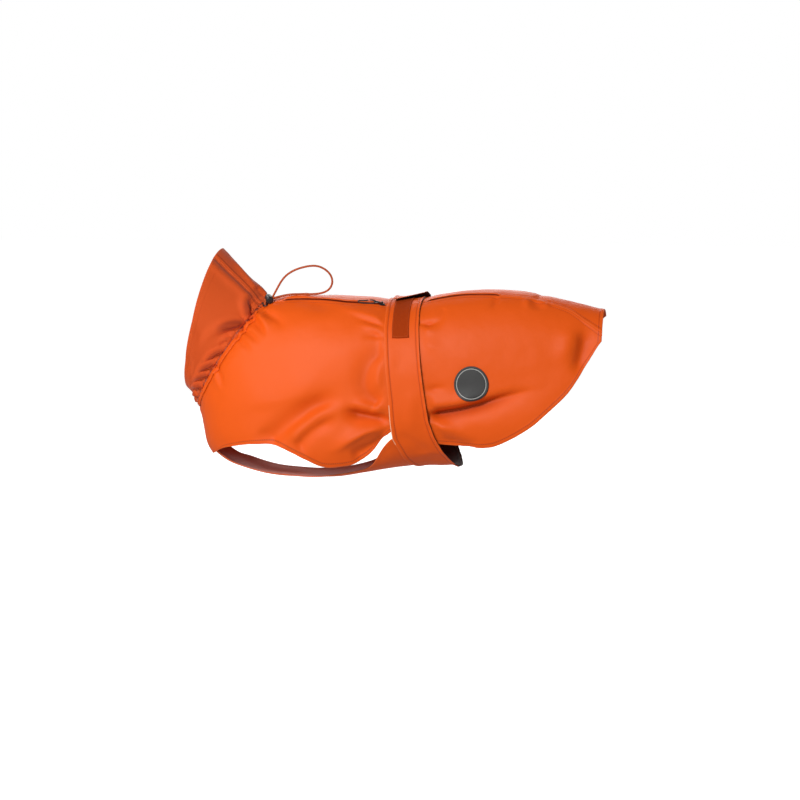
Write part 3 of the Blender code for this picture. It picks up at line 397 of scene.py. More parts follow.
def shell(name, outer, inner, flat, wear_and_shade, materials):
    """A closed wall between two grids. flat is each point's place on the cut cloth, for the weave,
    and wear_and_shade is 1 along rubbed turned edges and below 0 where shade is painted darker.
    The materials are the face's, the inside's and the edge's."""
    rows, cols = outer.shape[:2]
    half = rows * cols
    at = np.arange(half).reshape(rows, cols)
    a, b, c, d = at[:-1, :-1].ravel(), at[:-1, 1:].ravel(), at[1:, 1:].ravel(), at[1:, :-1].ravel()
    face = np.stack([a, b, c, d], axis=1)
    back = np.stack([a, d, c, b], axis=1) + half
    rim = np.concatenate([at[0], at[1:, -1], at[-1, -2::-1], at[-2:0:-1, 0]])
    after = np.roll(rim, -1)
    edge = np.stack([after, rim, rim + half, after + half], axis=1)
    faces = np.concatenate([face, back, edge])
    points = np.concatenate([outer.reshape(-1, 3), inner.reshape(-1, 3)])
    centre = outer[rows // 2, cols // 2] - inner[rows // 2, cols // 2]
    p, q, r = outer[rows // 2, cols // 2], outer[rows // 2, cols // 2 + 1], outer[rows // 2 + 1, cols // 2]
    if np.cross(q - p, r - p) @ centre < 0:
        faces = faces[:, ::-1]
    mesh = mesh_of(name, points, faces.tolist())
    mesh.polygons.foreach_set("material_index", np.repeat([0, 1, 2], [len(face), len(back), len(edge)]))
    lay_out(mesh, np.concatenate([flat.reshape(-1, 2)] * 2))
    # wear_and_shade: above 0 rubbed wear, below 0 painted shade in grooves and fold hollows
    worn = mesh.attributes.new("wear_and_shade", "FLOAT", "POINT")
    worn.data.foreach_set("value", np.concatenate([wear_and_shade.ravel()] * 2).astype(np.float32))
    for each in materials:
        mesh.materials.append(each)
    mesh.shade_smooth()
    mesh.update()
    return link(name, mesh)


def wall_between(outer_face, normals, thick, edge_gap):
    """Outer and inner grids of a cloth wall, rounded where the distance to an edge is small."""
    round_off = np.clip(1 - edge_gap / 0.9, 0, 1) ** 2 * 0.32 * thick
    return outer_face - normals * round_off[..., None], outer_face - normals * (thick - round_off)[..., None]


def node(tree, kind, inputs=None, **settings):
    made = tree.nodes.new(kind)
    for key, value in settings.items():
        setattr(made, key, value)
    for key, value in (inputs or {}).items():
        if isinstance(value, bpy.types.NodeSocket):
            tree.links.new(value, made.inputs[key])
        else:
            made.inputs[key].default_value = value
    return made


def group(name, kind, inputs, outputs):
    """An empty node group with named sockets, each (name, socket type, default)."""
    tree = bpy.data.node_groups.new(name, kind)
    for side, sockets in (("INPUT", inputs), ("OUTPUT", outputs)):
        for label, socket_type, value in sockets:
            socket = tree.interface.new_socket(label, in_out=side, socket_type=socket_type)
            if value is not None:
                socket.default_value = value
    return tree, tree.nodes.new("NodeGroupInput").outputs, tree.nodes.new("NodeGroupOutput").inputs


def weave_group():
    """Woven ground under the coating, with slow dents: gives a normal and a mottle mask."""
    tree, given, result = group(
        "Coated weave", "ShaderNodeTree",
        [("Pitch", "NodeSocketFloat", 0.0006), ("Weave", "NodeSocketFloat", 0.1),
         ("Dents", "NodeSocketFloat", 0.2)],
        [("Normal", "NodeSocketVector", None), ("Mottle", "NodeSocketFloat", None)])
    cloth = node(tree, "ShaderNodeUVMap", uv_map="cloth").outputs["UV"]
    place = node(tree, "ShaderNodeTexCoord").outputs["Object"]
    threads = node(tree, "ShaderNodeVectorMath", {0: cloth, 3: node(
        tree, "ShaderNodeMath", {0: 1.0, 1: given["Pitch"]}, operation="DIVIDE").outputs[0]},
        operation="SCALE").outputs[0]
    lines = [node(tree, "ShaderNodeTexWave", {"Vector": threads, "Scale": 0.3, "Distortion": 0.4,
                                              "Detail": 0.0}, bands_direction=way).outputs["Fac"]
             for way in ("X", "Y")]
    woven = node(tree, "ShaderNodeMath", {0: lines[0], 1: lines[1]}, operation="MULTIPLY").outputs[0]
    dents = node(tree, "ShaderNodeTexNoise", {"Vector": place, "Scale": 38.0, "Detail": 2.0,
                                              "Roughness": 0.45}).outputs["Fac"]
    soft = node(tree, "ShaderNodeBump", {"Strength": given["Dents"], "Distance": 0.004, "Height": dents})
    fine = node(tree, "ShaderNodeBump", {"Strength": given["Weave"], "Distance": 0.00015,
                                         "Height": woven, "Normal": soft.outputs["Normal"]})
    mottle = node(tree, "ShaderNodeTexNoise", {"Vector": place, "Scale": 14.0, "Detail": 3.0}).outputs["Fac"]
    tree.links.new(fine.outputs["Normal"], result["Normal"])
    tree.links.new(mottle, result["Mottle"])
    return tree


WEAVE = weave_group()
PAINTED_SHADE_SHARE = (0.42, 0.28, 0.2)      # share of each colour left where shade is painted into grooves and folds


def new_material(name):
    made = bpy.data.materials.new(name)
    made.use_nodes = True
    return made, made.node_tree, made.node_tree.nodes["Principled BSDF"]


def cloth_material(name, colour, worn, roughness, weave, dents, sheen=0.0):
    """Cloth that is a little lighter where turned edges are rubbed, with shade painted darker into
    stitched grooves and deep folds."""
    made, tree, shader = new_material(name)
    effects = node(tree, "ShaderNodeGroup", node_tree=WEAVE)
    effects.inputs["Weave"].default_value = weave
    effects.inputs["Dents"].default_value = dents
    wear_and_shade = node(tree, "ShaderNodeAttribute", attribute_name="wear_and_shade").outputs["Fac"]
    rubbed = node(tree, "ShaderNodeMath", {0: wear_and_shade, 1: effects.outputs["Mottle"]}, operation="MULTIPLY")
    mixed = node(tree, "ShaderNodeMix", {"Factor": rubbed.outputs[0]}, data_type="RGBA")
    mixed.inputs[6].default_value, mixed.inputs[7].default_value = (*colour, 1), (*worn, 1)
    # A negative wear_and_shade paints shade: the colour darkens towards its painted-shade share.
    painted_shade_amount = node(tree, "ShaderNodeMath", {0: wear_and_shade, 1: -1.0}, operation="MULTIPLY", use_clamp=True)
    painted_shade_mix = node(tree, "ShaderNodeMix", {"Factor": painted_shade_amount.outputs[0], 6: mixed.outputs[2]}, data_type="RGBA")
    painted_shade_mix.inputs[7].default_value = (*np.multiply(colour, PAINTED_SHADE_SHARE), 1)
    tree.links.new(painted_shade_mix.outputs[2], shader.inputs["Base Color"])
    rough = node(tree, "ShaderNodeMapRange", {"Value": effects.outputs["Mottle"], "To Min": roughness - 0.05,
                                              "To Max": roughness + 0.05})
    tree.links.new(rough.outputs[0], shader.inputs["Roughness"])
    tree.links.new(effects.outputs["Normal"], shader.inputs["Normal"])
    shader.inputs["Sheen Weight"].default_value = sheen
    shader.inputs["Specular IOR Level"].default_value = 0.22
    return made


ORANGE, ORANGE_WORN = (0.79, 0.096, 0.003), (0.88, 0.17, 0.035)
COATED = cloth_material("coated cloth", ORANGE, ORANGE_WORN, 0.54, 0.12, 0.26)
LINING = cloth_material("uncoated inside", (0.60, 0.075, 0.008), (0.60, 0.085, 0.012), 0.75, 0.3, 0.1, 0.1)
HEM_EDGE = cloth_material("turned edge", (0.76, 0.10, 0.008), ORANGE_WORN, 0.5, 0.12, 0.1)


MIDDLE = 120.0          # distance from the spine at which lengths along the coat are measured
PANEL_ROWS, PANEL_COLUMNS = 232, 92
TAIL_STEP = 58.0        # length of the last section, for the hem across the tail
HEM_RAISE, HEM_RIPPLE, HEM_THICKER = 0.7, 0.22, 0.5
GROOVE_DEEP, SEAM_GROOVE = 0.45, 0.22
SEAM_STITCH, SEAM_RAISE, SEAM_WEAR = 6.0, 0.5, 0.6
ZIP_LIPS = {1: 0.5, -1: 2.2}    # how far each side's lip stands up beside the zip
NECK_DRAW, PLEAT_RAISE = 1.0, 1.1
STITCHED = 6            # column of edge_steps that lies under the stitching


def make_panel(name, side):
    spread = np.linspace(0, TAIL, 1101)
    run = travelled(COAT.point(spread, side * MIDDLE))
    stations = np.interp(edge_steps(run[-1], PANEL_ROWS), run, spread)
    start, end = seam_line(stations, side), hem_line(stations, side)
    width = np.abs(end - start)
    across = np.array([edge_steps(w, PANEL_COLUMNS) for w in width])
    v = np.repeat(stations[:, None], across.shape[1], axis=1)
    distance = start[:, None] + side * across
    lift, points = panel_lift(v, distance, across / width[:, None], side)
    hollow = np.minimum(lift, 0)
    to_edge = np.minimum(width[:, None] - across, np.interp(TAIL - v, [0, 1], [0, TAIL_STEP]))
    at_hem = np.where(v < CHEST + 0.1, 0, 1) * (1 - ease(to_edge, HEM - 0.6, HEM + 0.4))
    hem_groove = groove(to_edge - HEM_STITCH) * (v > CHEST + 0.05)
    lift += HEM_RAISE * at_hem - GROOVE_DEEP * hem_groove
    lift += HEM_RIPPLE * at_hem * drift(points, 7.0, 21.0)
    zipped = ease(v, ZIP[0] - 0.05, ZIP[0] + 0.1) * (1 - ease(v, ZIP[1] - 0.05, ZIP[1] + 0.1))
    free = off_band(v, distance)
    lift += zipped * ZIP_LIPS[side] * (1 - ease(across, 4.0, 10.0)) * free
    lift += (1 - zipped) * SEAM_RAISE * (1 - ease(across, 3.5, 5.0)) * free
    lift -= SEAM_GROOVE * groove(across - SEAM_STITCH, 0.8)
    lift -= NECK_DRAW * groove(v, 0.12) + CASING_SUNK * (1 - ease(v, 0.44, 0.53))
    pleats = drift(np.stack([distance, 5.0 * v, 0 * v], axis=-1), 5.2, 61.0)
    lift += PLEAT_RAISE * pleats * ease(v, 0.36, 0.5) * groove(v - 0.45, 0.42)
    normals = COAT.normal(v, distance)
    face = points + normals * lift[..., None]
    out = grid_normals(face, normals)
    outer, inner = wall_between(face, out, CLOTH + HEM_THICKER * at_hem, np.minimum(to_edge, across))
    flat = np.stack([np.interp(v, spread, run), distance], axis=-1)
    wear_and_shade = np.maximum(at_hem * (1 - ease(to_edge, 0.3, 2.0)), SEAM_WEAR * (1 - ease(across, 0.2, 1.4)))
    # Painted shade: darker in deep troughs and in the stitched grooves of hem and back seam
    wear_and_shade -= HOLLOW_SHADE * ease(-hollow, 1.0, 16.0) + GROOVE_SHADE * hem_groove
    wear_and_shade -= 0.6 * GROOVE_SHADE * groove(across - SEAM_STITCH, 0.6)
    made = shell(name, outer, inner, flat, wear_and_shade, [COATED, LINING, HEM_EDGE])
    hemmed = v[:, 0] > CHEST + 0.08
    rows_of_stitches = [(outer[hemmed, -1 - STITCHED], out[hemmed, -1 - STITCHED]),
                        (outer[:, STITCHED], out[:, STITCHED])]
    return made, rows_of_stitches


left_panel, left_lines = make_panel("left_panel", 1)
right_panel, right_lines = make_panel("right_panel", -1)
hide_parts("side_panel_left")
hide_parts("side_panel_right")
for panel in (left_panel, right_panel):
    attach(panel, "coat")

# Collar --------------------------------------------------------------------------------------
# One strip of the same cloth, closed by a seam at the centre back, standing up like a funnel. Its
# front edge is folded over; the rear edge is gathered by the elastic where it meets the panels.

COLLAR_SECTIONS = [
    (-191, 0, -294, -153, 58, 2.0, 2.0, 9),
    (-199, 14, -300, -149, 64, 2.1, 2.0, 9),
    (-215, 32, -303, -145, 67, 2.1, 2.0, 10),
    (-232, 47, -305, -141, 69, 2.1, 2.0, 10),
    (-247, 60, -307, -136, 70, 2.1, 2.0, 9),
    (-261, 71, -309, -131, 70, 2.1, 2.0, 8),
]
RIM = 5.0       # its last section, at the front edge
GATHERS = [
    # distance along the seam, depth, half width, share of the height, lean at the rim
    (58, 6.0, 9.0, 0.30, -34), (68, 6.5, 10.0, 0.42, 82), (97, 3.2, 7.0, 0.20, 60),
    (114, 5.0, 8.0, 0.30, 96), (138, 5.0, 7.4, 0.36, 76), (158, 4.5, 6.6, 0.42, 60),
    (180, 4.5, 6.0, 0.44, 46), (204, 4.0, 5.4, 0.46, 36), (226, 4.0, 4.6, 0.46, 20),
    (4, 3.5, 6.0, 0.34, 5), (-22, 4.0, 6.5, 0.40, 8), (-48, 6.0, 7.0, 0.52, 4),
    (-70, 5.0, 6.5, 0.40, 0), (-93, 6.5, 7.0, 0.56, -4), (-118, 5.0, 6.0, 0.44, -5),
    (-139, 5.5, 5.2, 0.50, -4), (-160, 4.5, 5.0, 0.44, -3), (-180, 4.5, 4.8, 0.46, -2),
    (-199, 4.0, 4.6, 0.42, 0), (-216, 4.0, 4.6, 0.44, 0),
]
COLLAR_FOLDS = [  # lines of (distance along the seam, height); the rest as for the panels
    (((47, 118), (43, 78), (39, 40), (36, 14)), 6, 9, -1.8, 1.8, .1, .1),
    (((32, 112), (31, 70), (31, 20)), 5, 4, 1.2, 1.8, .2, .1),
    (((60, 106), (48, 96), (40, 88)), 4, 6, -2.2, 1.6, .2, .2),
    (((16, 20), (10, 44), (2, 70)), 6, 6, -2.2, 1.7, .1, .5),
    (((110, 96), (120, 60), (124, 36)), 14, 16, 1.8, 2, .3, .3),
    (((170, 80), (176, 44)), 10, 12, 1.2, 2, .4, .4),
    (((-60, 100), (-84, 66), (-96, 36)), 14, 15, -1.8, 2, .3, .3),
    (((-130, 90), (-140, 50)), 12, 14, 1.6, 2, .4, .4),
]
COLLAR_ROWS, COLLAR_COLUMNS = 46, 262
PUFF = 6.5      # how far the collar swells out above its gathers
ROOT_DEPTH, ROOT_LENGTH = 3.6, 3.5      # its sewn edge, turned in under the panels
GATHER_DEPTH, RIPPLE, FOLD_DEPTH, BACK_STITCH = 1.75, 2.0, 1.8, 5.2
NECK = Form(COLLAR_SECTIONS)


def make_collar():
    half = float(NECK.half(0.0))
    start, whole = float(seam_line(0.0, 1)), 2 * half - 0.02
    along = edge_steps(whole, COLLAR_COLUMNS)
    spread = np.linspace(0, RIM, 101)
    rim_run = travelled(NECK.point(spread, MIDDLE))
    high = np.concatenate([[0.0], edge_steps(rim_run[-1], COLLAR_ROWS)])
    sections = np.interp(high, rim_run, spread)
    height, along = np.meshgrid(high / rim_run[-1], along, indexing="ij")
    v = np.repeat(sections[:, None], along.shape[1], axis=1)
    seam = start + along
    seam = np.where(seam > half, seam - 2 * half, seam)
    depth = np.zeros(seam.shape)
    for at, deep, half_width, length, lean in GATHERS:
        across = (seam - at - lean * height) / (half_width * (0.50 + 1.3 * height))
        deep = GATHER_DEPTH * deep * (0.10 + 0.90 * ease(height, 0.0, 0.14))
        depth += deep * np.exp(-across**2) * np.exp(-(height / length) ** 4)
    place = seam * NECK.half(v) / half
    points = NECK.point(v, place)
    ripple = drift(np.stack([seam * 1.0, height * 18, 0 * seam], axis=-1), 4.4, 40.0)
    depth += RIPPLE * ripple * groove(height, 0.13)
    lift = PUFF * np.sin(math.pi * height ** 0.62) * ease(height, 0.0, 0.12) - depth
    lift += FOLD_DEPTH * folded(np.stack([seam, height * rim_run[-1]], axis=-1), COLLAR_FOLDS)
    lift += 0.8 * drift(points, 46.0, 12.0) * ease(height, 0.1, 0.4)
    to_seam = np.minimum(along, whole - along)
    lift += 0.45 * (1 - ease(to_seam, 3.0, 4.2)) - 0.2 * groove(to_seam - BACK_STITCH)
    normals = NECK.normal(v, place)
    face = points + normals * lift[..., None]
    ahead = normalised(face[4] - face[1])
    face[0] = points[0] - normals[0] * ROOT_DEPTH - ahead * ROOT_LENGTH
    out = grid_normals(face, normals)
    to_rim = (1 - height) * rim_run[-1]
    folded_edge = 1 - ease(to_rim, 9.0, 10.5)
    outer, inner = wall_between(face + out * 0.2 * folded_edge[..., None], out,
                                CLOTH + HEM_THICKER * folded_edge, np.minimum(to_rim, to_seam * 2))
    wear_and_shade = np.maximum(1 - ease(to_rim, 0.2, 1.6), SEAM_WEAR * (1 - ease(to_seam, 0.2, 1.2)))
    # Painted shade: darker in the hollows of the gathers and in the back seam's stitched groove
    wear_and_shade -= HOLLOW_SHADE * ease(depth, 2.0, 8.5) + GROOVE_SHADE * groove(to_seam - BACK_STITCH)
    flat = np.stack([seam, height * rim_run[-1] + 400], axis=-1)
    made = shell("collar_cloth", outer, inner, flat, wear_and_shade, [COATED, LINING, HEM_EDGE])
    return made, [(outer[4:-2, 5], out[4:-2, 5]), (outer[4:-2, -6], out[4:-2, -6])]


collar, collar_lines = make_collar()
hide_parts("collar")
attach(collar, "coat")

# Neck casing ---------------------------------------------------------------------------------
# A narrow strip over the front edge of the panels with two rows of stitching. The elastic runs
# inside it and puckers it; it stops either side of the cord lock.

CASING = (0.11, 0.44)           # sections between which it lies
CASING_WIDE = 6.0
CASING_ENDS = (46, 6)           # distances of its two ends, either side of the lock
CASING_ROWS, ROW_DEEP = (0.16, 0.84), 0.4       # its stitching, as shares of its width
LAY = 0.55                      # how far a piece laid on the panels clears them


def make_casing():
    half = float(COAT.half(0.0))
    whole = 2 * half + CASING_ENDS[1] - CASING_ENDS[0]
    along = np.linspace(0, whole, 420)
    share = np.array([0, 0.05, 0.14, 0.26, 0.42, 0.58, 0.74, 0.86, 0.95, 1.0])
    share, along = np.meshgrid(share, along, indexing="ij")
    v = CASING[0] + (CASING[1] - CASING[0]) * share
    seam = along + CASING_ENDS[0]
    seam = np.where(seam > half, seam - 2 * half, seam)
    distance = seam * COAT.half(v) / half
    base = [panel_lift(v, distance, 0 * v, side)[0] for side in (1, -1)]
    points = COAT.point(v, distance)
    pucker = drift(np.stack([seam, 0 * seam, CASING_WIDE * share], axis=-1), 4.0, 70.0)
    tube = 1 - np.abs(2 * share - 1) ** 3
    lift = np.where(distance > BACK_SEAM[0][1], *base) + LAY + CLOTH - CASING_SUNK
    lift += (0.5 + 0.5 * pucker) * tube
    for row in CASING_ROWS:
        lift -= ROW_DEEP * groove(share - row, 0.07)
    normals = COAT.normal(v, distance)
    face = points + normals * lift[..., None]
    out = grid_normals(face, normals)
    gap = np.minimum(share, 1 - share) * CASING_WIDE
    outer, inner = wall_between(face, out, CLOTH + 0 * gap, np.minimum(gap, np.minimum(along, whole - along)))
    flat = np.stack([seam, share * CASING_WIDE + 700], axis=-1)
    made = shell("casing_cloth", outer, inner, flat, 0 * gap, [COATED, LINING, COATED])
    return made, [(outer[2], out[2]), (outer[-3], out[-3])]


casing, casing_lines = make_casing()
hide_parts("neck_casing")
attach(casing, "coat")

# Belly panel ---------------------------------------------------------------------------------
# A panel of the same cloth under the chest and belly, between the front legs. It is lapped inside
# the side panels at the chest and inside the belly band at the rear; its sides are turned.

BELLY_WIDTH = [
    (2.05, 40), (2.6, 42), (3.5, 44), (4.5, 46), (5.1, 48), (5.4, 53), (5.55, 62), (5.65, 82),
    (5.75, 97), (5.87, 106), (6.6, 110),
]
BELLY_LENGTH, BELLY_START = 300.0, 2.05
BELLY_LAP, CHEST_TUCK = 0.14, 1.8       # how far it goes under the band, and in at the chest
BELLY_STITCH = 5.0
BELLY_FOLDS = [
    (((40, -60), (110, -30), (190, -36)), 14, 18, -2.4, 2, .3, .3),
    (((120, 50), (200, 20), (270, 26)), 12, 16, -2.0, 2, .3, .3),
    (((60, 10), (150, -4), (240, 10)), 16, 16, 1.6, 2, .3, .3),
    (((275, -96), (262, -74), (236, -52)), 6, 9, -2.4, 1.6, .0, .5),
    (((275, 92), (260, 72), (232, 50)), 6, 9, -2.2, 1.6, .0, .5),
]


def make_belly_panel():
    shares = edge_steps(BELLY_LENGTH, 110) / BELLY_LENGTH
    side = [0.86, 0.90, 0.95, 0.982, 0.994, 1]
    across = np.concatenate([-np.array(side[::-1]), np.linspace(-0.82, 0.82, 60), side])
    share, c = np.meshgrid(shares, across, indexing="ij")
    edge = COAT.half(6.0) - np.abs(c) * read(BELLY_WIDTH, 5.87)
    v = BELLY_START + (band_edge(edge, 1) + BELLY_LAP - BELLY_START) * share
    reach = COAT.half(v) - np.abs(c) * read(BELLY_WIDTH, v, 0.05)
    distance = np.where(c >= 0, reach, -reach)
    points = COAT.point(v, distance)
    normals = COAT.normal(v, distance)
    run = share * BELLY_LENGTH
    lift = folded(np.stack([run, np.sign(c) * (COAT.half(v) - reach)], axis=-1), BELLY_FOLDS)
    lift += 0.8 * drift(points, 50.0, 31.0)
    lift *= ease(share, 0.05, 0.25) * (1 - ease(share, 0.88, 0.97))
    lift = np.minimum(lift, 1.2) - CHEST_TUCK * (1 - ease(v, 2.3, 2.9)) - CLOTH - LAY
    to_side = (1 - np.abs(c)) * read(BELLY_WIDTH, v, 0.05)
    turned = 1 - ease(to_side, 5.0, 6.2)
    lift += 0.25 * turned - 0.2 * groove(to_side - BELLY_STITCH, 0.8)
    face = points + normals * lift[..., None]
    out = grid_normals(face, normals)
    outer, inner = wall_between(face, out, CLOTH + 0.3 * turned, to_side)
    flat = np.stack([run, distance], axis=-1)
    made = shell("belly_cloth", outer, inner, flat, turned * (to_side < 1.4), [COATED, LINING, HEM_EDGE])
    return made, [(outer[6:-4, 4], out[6:-4, 4]), (outer[6:-4, -5], out[6:-4, -5])]


belly_panel, belly_lines = make_belly_panel()
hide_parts("belly_panel")
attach(belly_panel, "coat")

# Belly band ----------------------------------------------------------------------------------
# A long strip of doubled cloth, 50 mm wide, round the back, both sides and the belly. Its edges
# are topstitched and pale where they are cut; the right end laps over the left end on the back,
# with its corner standing off.

BAND_WIDE, BAND_CLOTH = 52.0, 1.2
BAND_ROWS, BAND_COLUMNS = 330, 18
LEFT_END, RIGHT_END = -24, 28           # distances of the two ends from the spine
RIGHT_SLANT, RIGHT_SHIFT = 36, 0.14     # how the right end is cut, and how far it laps rearward
LAP_RAMP, TIP_RAISE = (-66, -34), 2.0   # where it climbs over the left end, and its lifted corner
TAPE, GAP = 1.0, 0.3                    # thickness of the tapes, and the clearance between layers
LAP_STACK = BAND_CLOTH + 2 * TAPE + 4 * GAP     # what the right end lies on
BAND_STITCH = 5.2
BAND_TUCK = (0.84, 1.0)         # share of the width over which the rear edge stands off
BAND_FOLDS = [
    # lines of (travel from the left end, place across from the front edge)
    (((60, 48), (92, 34), (130, 20)), 12, 12, 0.9, 2, .3, .3),
    (((96, 44), (140, 26), (176, 14)), 10, 12, -0.8, 2, .3, .3),
    (((190, 44), (222, 30), (262, 26)), 10, 12, 0.8, 2, .3, .3),
    (((256, 6), (276, 22), (300, 30)), 8, 10, -0.8, 2, .3, .3),
    (((310, 50), (352, 30), (400, 34)), 12, 14, 0.8, 2, .3, .3),
    (((430, 8), (470, 26), (520, 20)), 12, 12, 0.8, 2, .3, .3),
    (((560, 44), (600, 28), (640, 18)), 10, 12, -0.8, 2, .3, .3),
]
HALF = float(COAT.half(6.4))


def band_place(travel, across):
    """Section and distance at a place of the band: down the left, under the belly, up the right."""
    left = travel <= HALF
    distance = np.where(left, travel, travel - 2 * HALF)
    near_top = np.where(left, 0, RIGHT_SHIFT * (1 - ease(np.abs(np.minimum(distance, 0)), 20, 110)))
    front = band_edge(distance, 1) + near_top
    rear = band_edge(distance, 2) + near_top * 0.6
    slant = RIGHT_SLANT * across * ease(distance, -90, RIGHT_END)
    distance = np.where(left, distance, distance - slant)
    v = front + (rear - front) * across
    turn = ease(np.abs(distance), 250, 330)
    return v, distance * (1 + (COAT.half(v) / HALF - 1) * turn)


def band_lift(travel):
    distance = np.where(travel <= HALF, travel, travel - 2 * HALF)
    lift = LAY - (BAND_CLOTH + GAP) * ease(np.abs(distance), 272, 292)
    right = LAP_STACK * ease(distance, *LAP_RAMP) + TIP_RAISE * ease(distance, 8, RIGHT_END)
    return np.where(travel > HALF, lift + right, lift)


CUT_EDGE = cloth_material("pale cut edge", (0.84, 0.42, 0.24), (0.88, 0.52, 0.34), 0.7, 0.0, 0.1)
# Near-black for the band's back and rim, and along the rear edge of its face as painted shadow
BAND_BACK_AND_EDGE_SHADOW = cloth_material("dark back of the band and painted edge shadow", (0.05, 0.012, 0.006), (0.06, 0.016, 0.01), 0.8, 0.3, 0.1)
DASHED = 66             # travel up to which the painted shadow along the rear edge widens in dashes
SEEN_EDGE = (192, 250)      # travel along which the front edge shows its pale cut threads


def make_band():
    ends = LEFT_END, 2 * HALF + RIGHT_END
    travel = ends[0] + edge_steps(ends[1] - ends[0], BAND_ROWS)
    side = np.array([0, 0.35, 0.9, 2.0, 3.6, 4.4, BAND_STITCH, 6.0, 7.4]) / BAND_WIDE
    column = int(np.argmin(np.abs(side * BAND_WIDE - BAND_STITCH)))
    shares = np.concatenate([side, np.linspace(side[-1], 1 - side[-1], BAND_COLUMNS)[1:-1], (1 - side)[::-1]])
    travel, share = np.meshgrid(travel, shares, indexing="ij")
    v, distance = band_place(travel, share)
    points, normals = COAT.point(v, distance), COAT.normal(v, distance)
    to_side = np.minimum(share, 1 - share) * BAND_WIDE
    to_end = np.minimum(travel - ends[0], ends[1] - travel)
    lift = band_lift(travel) + BAND_CLOTH
    flat = np.stack([travel - LEFT_END, share * BAND_WIDE], axis=-1)
    loose = ease(travel, 100, 140) * (1 - ease(travel, 2 * HALF - 120, 2 * HALF - 80))
    lift += (0.9 + 2.0 * folded(flat, BAND_FOLDS) + 0.4 * drift(points, 34.0, 55.0)) * loose
    lift += 0.35 * (1 - ease(to_side, 3.6, 5.0)) - 0.5 * groove(to_side - BAND_STITCH)
    rear_edge = ease(share, *BAND_TUCK) * ease(travel, 30, 70) * loose
    lift += (1.3 + 0.9 * drift(points, 9.0, 71.0)) * rear_edge
    face = points + normals * lift[..., None]
    out = grid_normals(face, normals)
    outer, inner = wall_between(face, out, BAND_CLOTH + 0.3 * (to_side < 4.4), np.minimum(to_side, to_end))
    wear_and_shade = 1 - ease(np.minimum(to_side, to_end), 0.2, 1.2)
    # Painted shade in the stitched grooves along both edges
    wear_and_shade -= GROOVE_SHADE * groove(to_side - BAND_STITCH, 0.6)
    made = shell("band_cloth", outer, inner, flat, wear_and_shade, [COATED, BAND_BACK_AND_EDGE_SHADOW, BAND_BACK_AND_EDGE_SHADOW, CUT_EDGE])
    columns = share.shape[1] - 1
    for quad in made.data.polygons[:(len(share) - 1) * columns]:
        row, place = divmod(quad.index, columns)
        if place < 2 and SEEN_EDGE[0] < travel[row, 0] < SEEN_EDGE[1]:
            quad.material_index = 3
        # Outermost face columns at the rear edge take the dark material: painted shadow of the gap below
        elif place >= columns - (2 if travel[row, 0] < DASHED and row % 3 else 1):
            quad.material_index = 1
    lines = [(outer[4:-4, column], out[4:-4, column]), (outer[4:-4, -1 - column], out[4:-4, -1 - column])]
    lines += [(outer[6, 5:-5], out[6, 5:-5]), (outer[-7, 5:-5], out[-7, 5:-5])]
    return made, lines


belly_band, band_lines = make_band()
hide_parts("belly_band")
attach(belly_band, "coat")

# Hook and loop patches -----------------------------------------------------------------------
# Rust-coloured loop tape sewn along the band's left end, with a short pile, and a black hook tape
# under the right end, whose moulded hooks stand in rows.

LOOP_SPAN, LOOP_ACROSS = (-13, 97), (0.22, 0.70)        # travel along the band, share across it
HOOK_SPAN, HOOK_ACROSS = (-24, 18), (0.12, 0.56)


def tape_grid(span, across, low, thick, rows, cols):
    travel, share = np.meshgrid(np.linspace(*span, rows), np.linspace(*across, cols), indexing="ij")
    v, distance = band_place(travel, share)
    points, normals = COAT.point(v, distance), COAT.normal(v, distance)
    base = band_lift(travel) + low
    outer = points + normals * (base + thick)[..., None]
    inner = points + normals * base[..., None]
    flat = np.stack([travel, share * BAND_WIDE], axis=-1)
    return outer, inner, flat, normals


def tape_material(name, dark, light, size, roughness, depth):
    """Tape whose pile or hooks mottle it in fine dots."""
    made, tree, shader = new_material(name)
    cloth = node(tree, "ShaderNodeUVMap", uv_map="cloth").outputs["UV"]
    dots = node(tree, "ShaderNodeTexVoronoi", {"Vector": cloth, "Scale": size, "Randomness": 0.9})
    ramp = node(tree, "ShaderNodeMapRange", {"Value": dots.outputs["Distance"], "From Max": 0.7})
    mixed = node(tree, "ShaderNodeMix", {"Factor": ramp.outputs[0]}, data_type="RGBA")
    mixed.inputs[6].default_value, mixed.inputs[7].default_value = (*light, 1), (*dark, 1)
    tree.links.new(mixed.outputs[2], shader.inputs["Base Color"])
    bump = node(tree, "ShaderNodeBump", {"Strength": 0.8, "Distance": depth, "Height": ramp.outputs[0]},
                invert=True)
    tree.links.new(bump.outputs["Normal"], shader.inputs["Normal"])
    shader.inputs["Roughness"].default_value = roughness
    shader.inputs["Specular IOR Level"].default_value = 0.1
    return made


LOOP_TAPE = tape_material("loop tape", (0.34, 0.034, 0.002), (0.50, 0.062, 0.006), 1300.0, 0.9, 0.0004)
HOOK_TAPE = tape_material("hook tape", (0.008, 0.007, 0.007), (0.05, 0.045, 0.045), 800.0, 0.55, 0.0005)
grid = tape_grid(LOOP_SPAN, LOOP_ACROSS, BAND_CLOTH + GAP, TAPE, 90, 30)
loop_patch = shell("loop_tape", *grid[:3], np.zeros(grid[0].shape[:2]), [LOOP_TAPE] * 3)
patch_lines = [(grid[0][2:-2, c], grid[3][2:-2, c]) for c in (1, -2)]
patch_lines += [(grid[0][r, 2:-2], grid[3][r, 2:-2]) for r in (2, -3)]
hook_grid = tape_grid(tuple(2 * HALF + at for at in HOOK_SPAN), HOOK_ACROSS, -GAP * 1.5 - TAPE, TAPE, 40, 20)
hook_patch = shell("hook_tape", *hook_grid[:3], np.zeros(hook_grid[0].shape[:2]), [HOOK_TAPE] * 3)
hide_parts("loop_patch")
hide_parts("hook_patch")
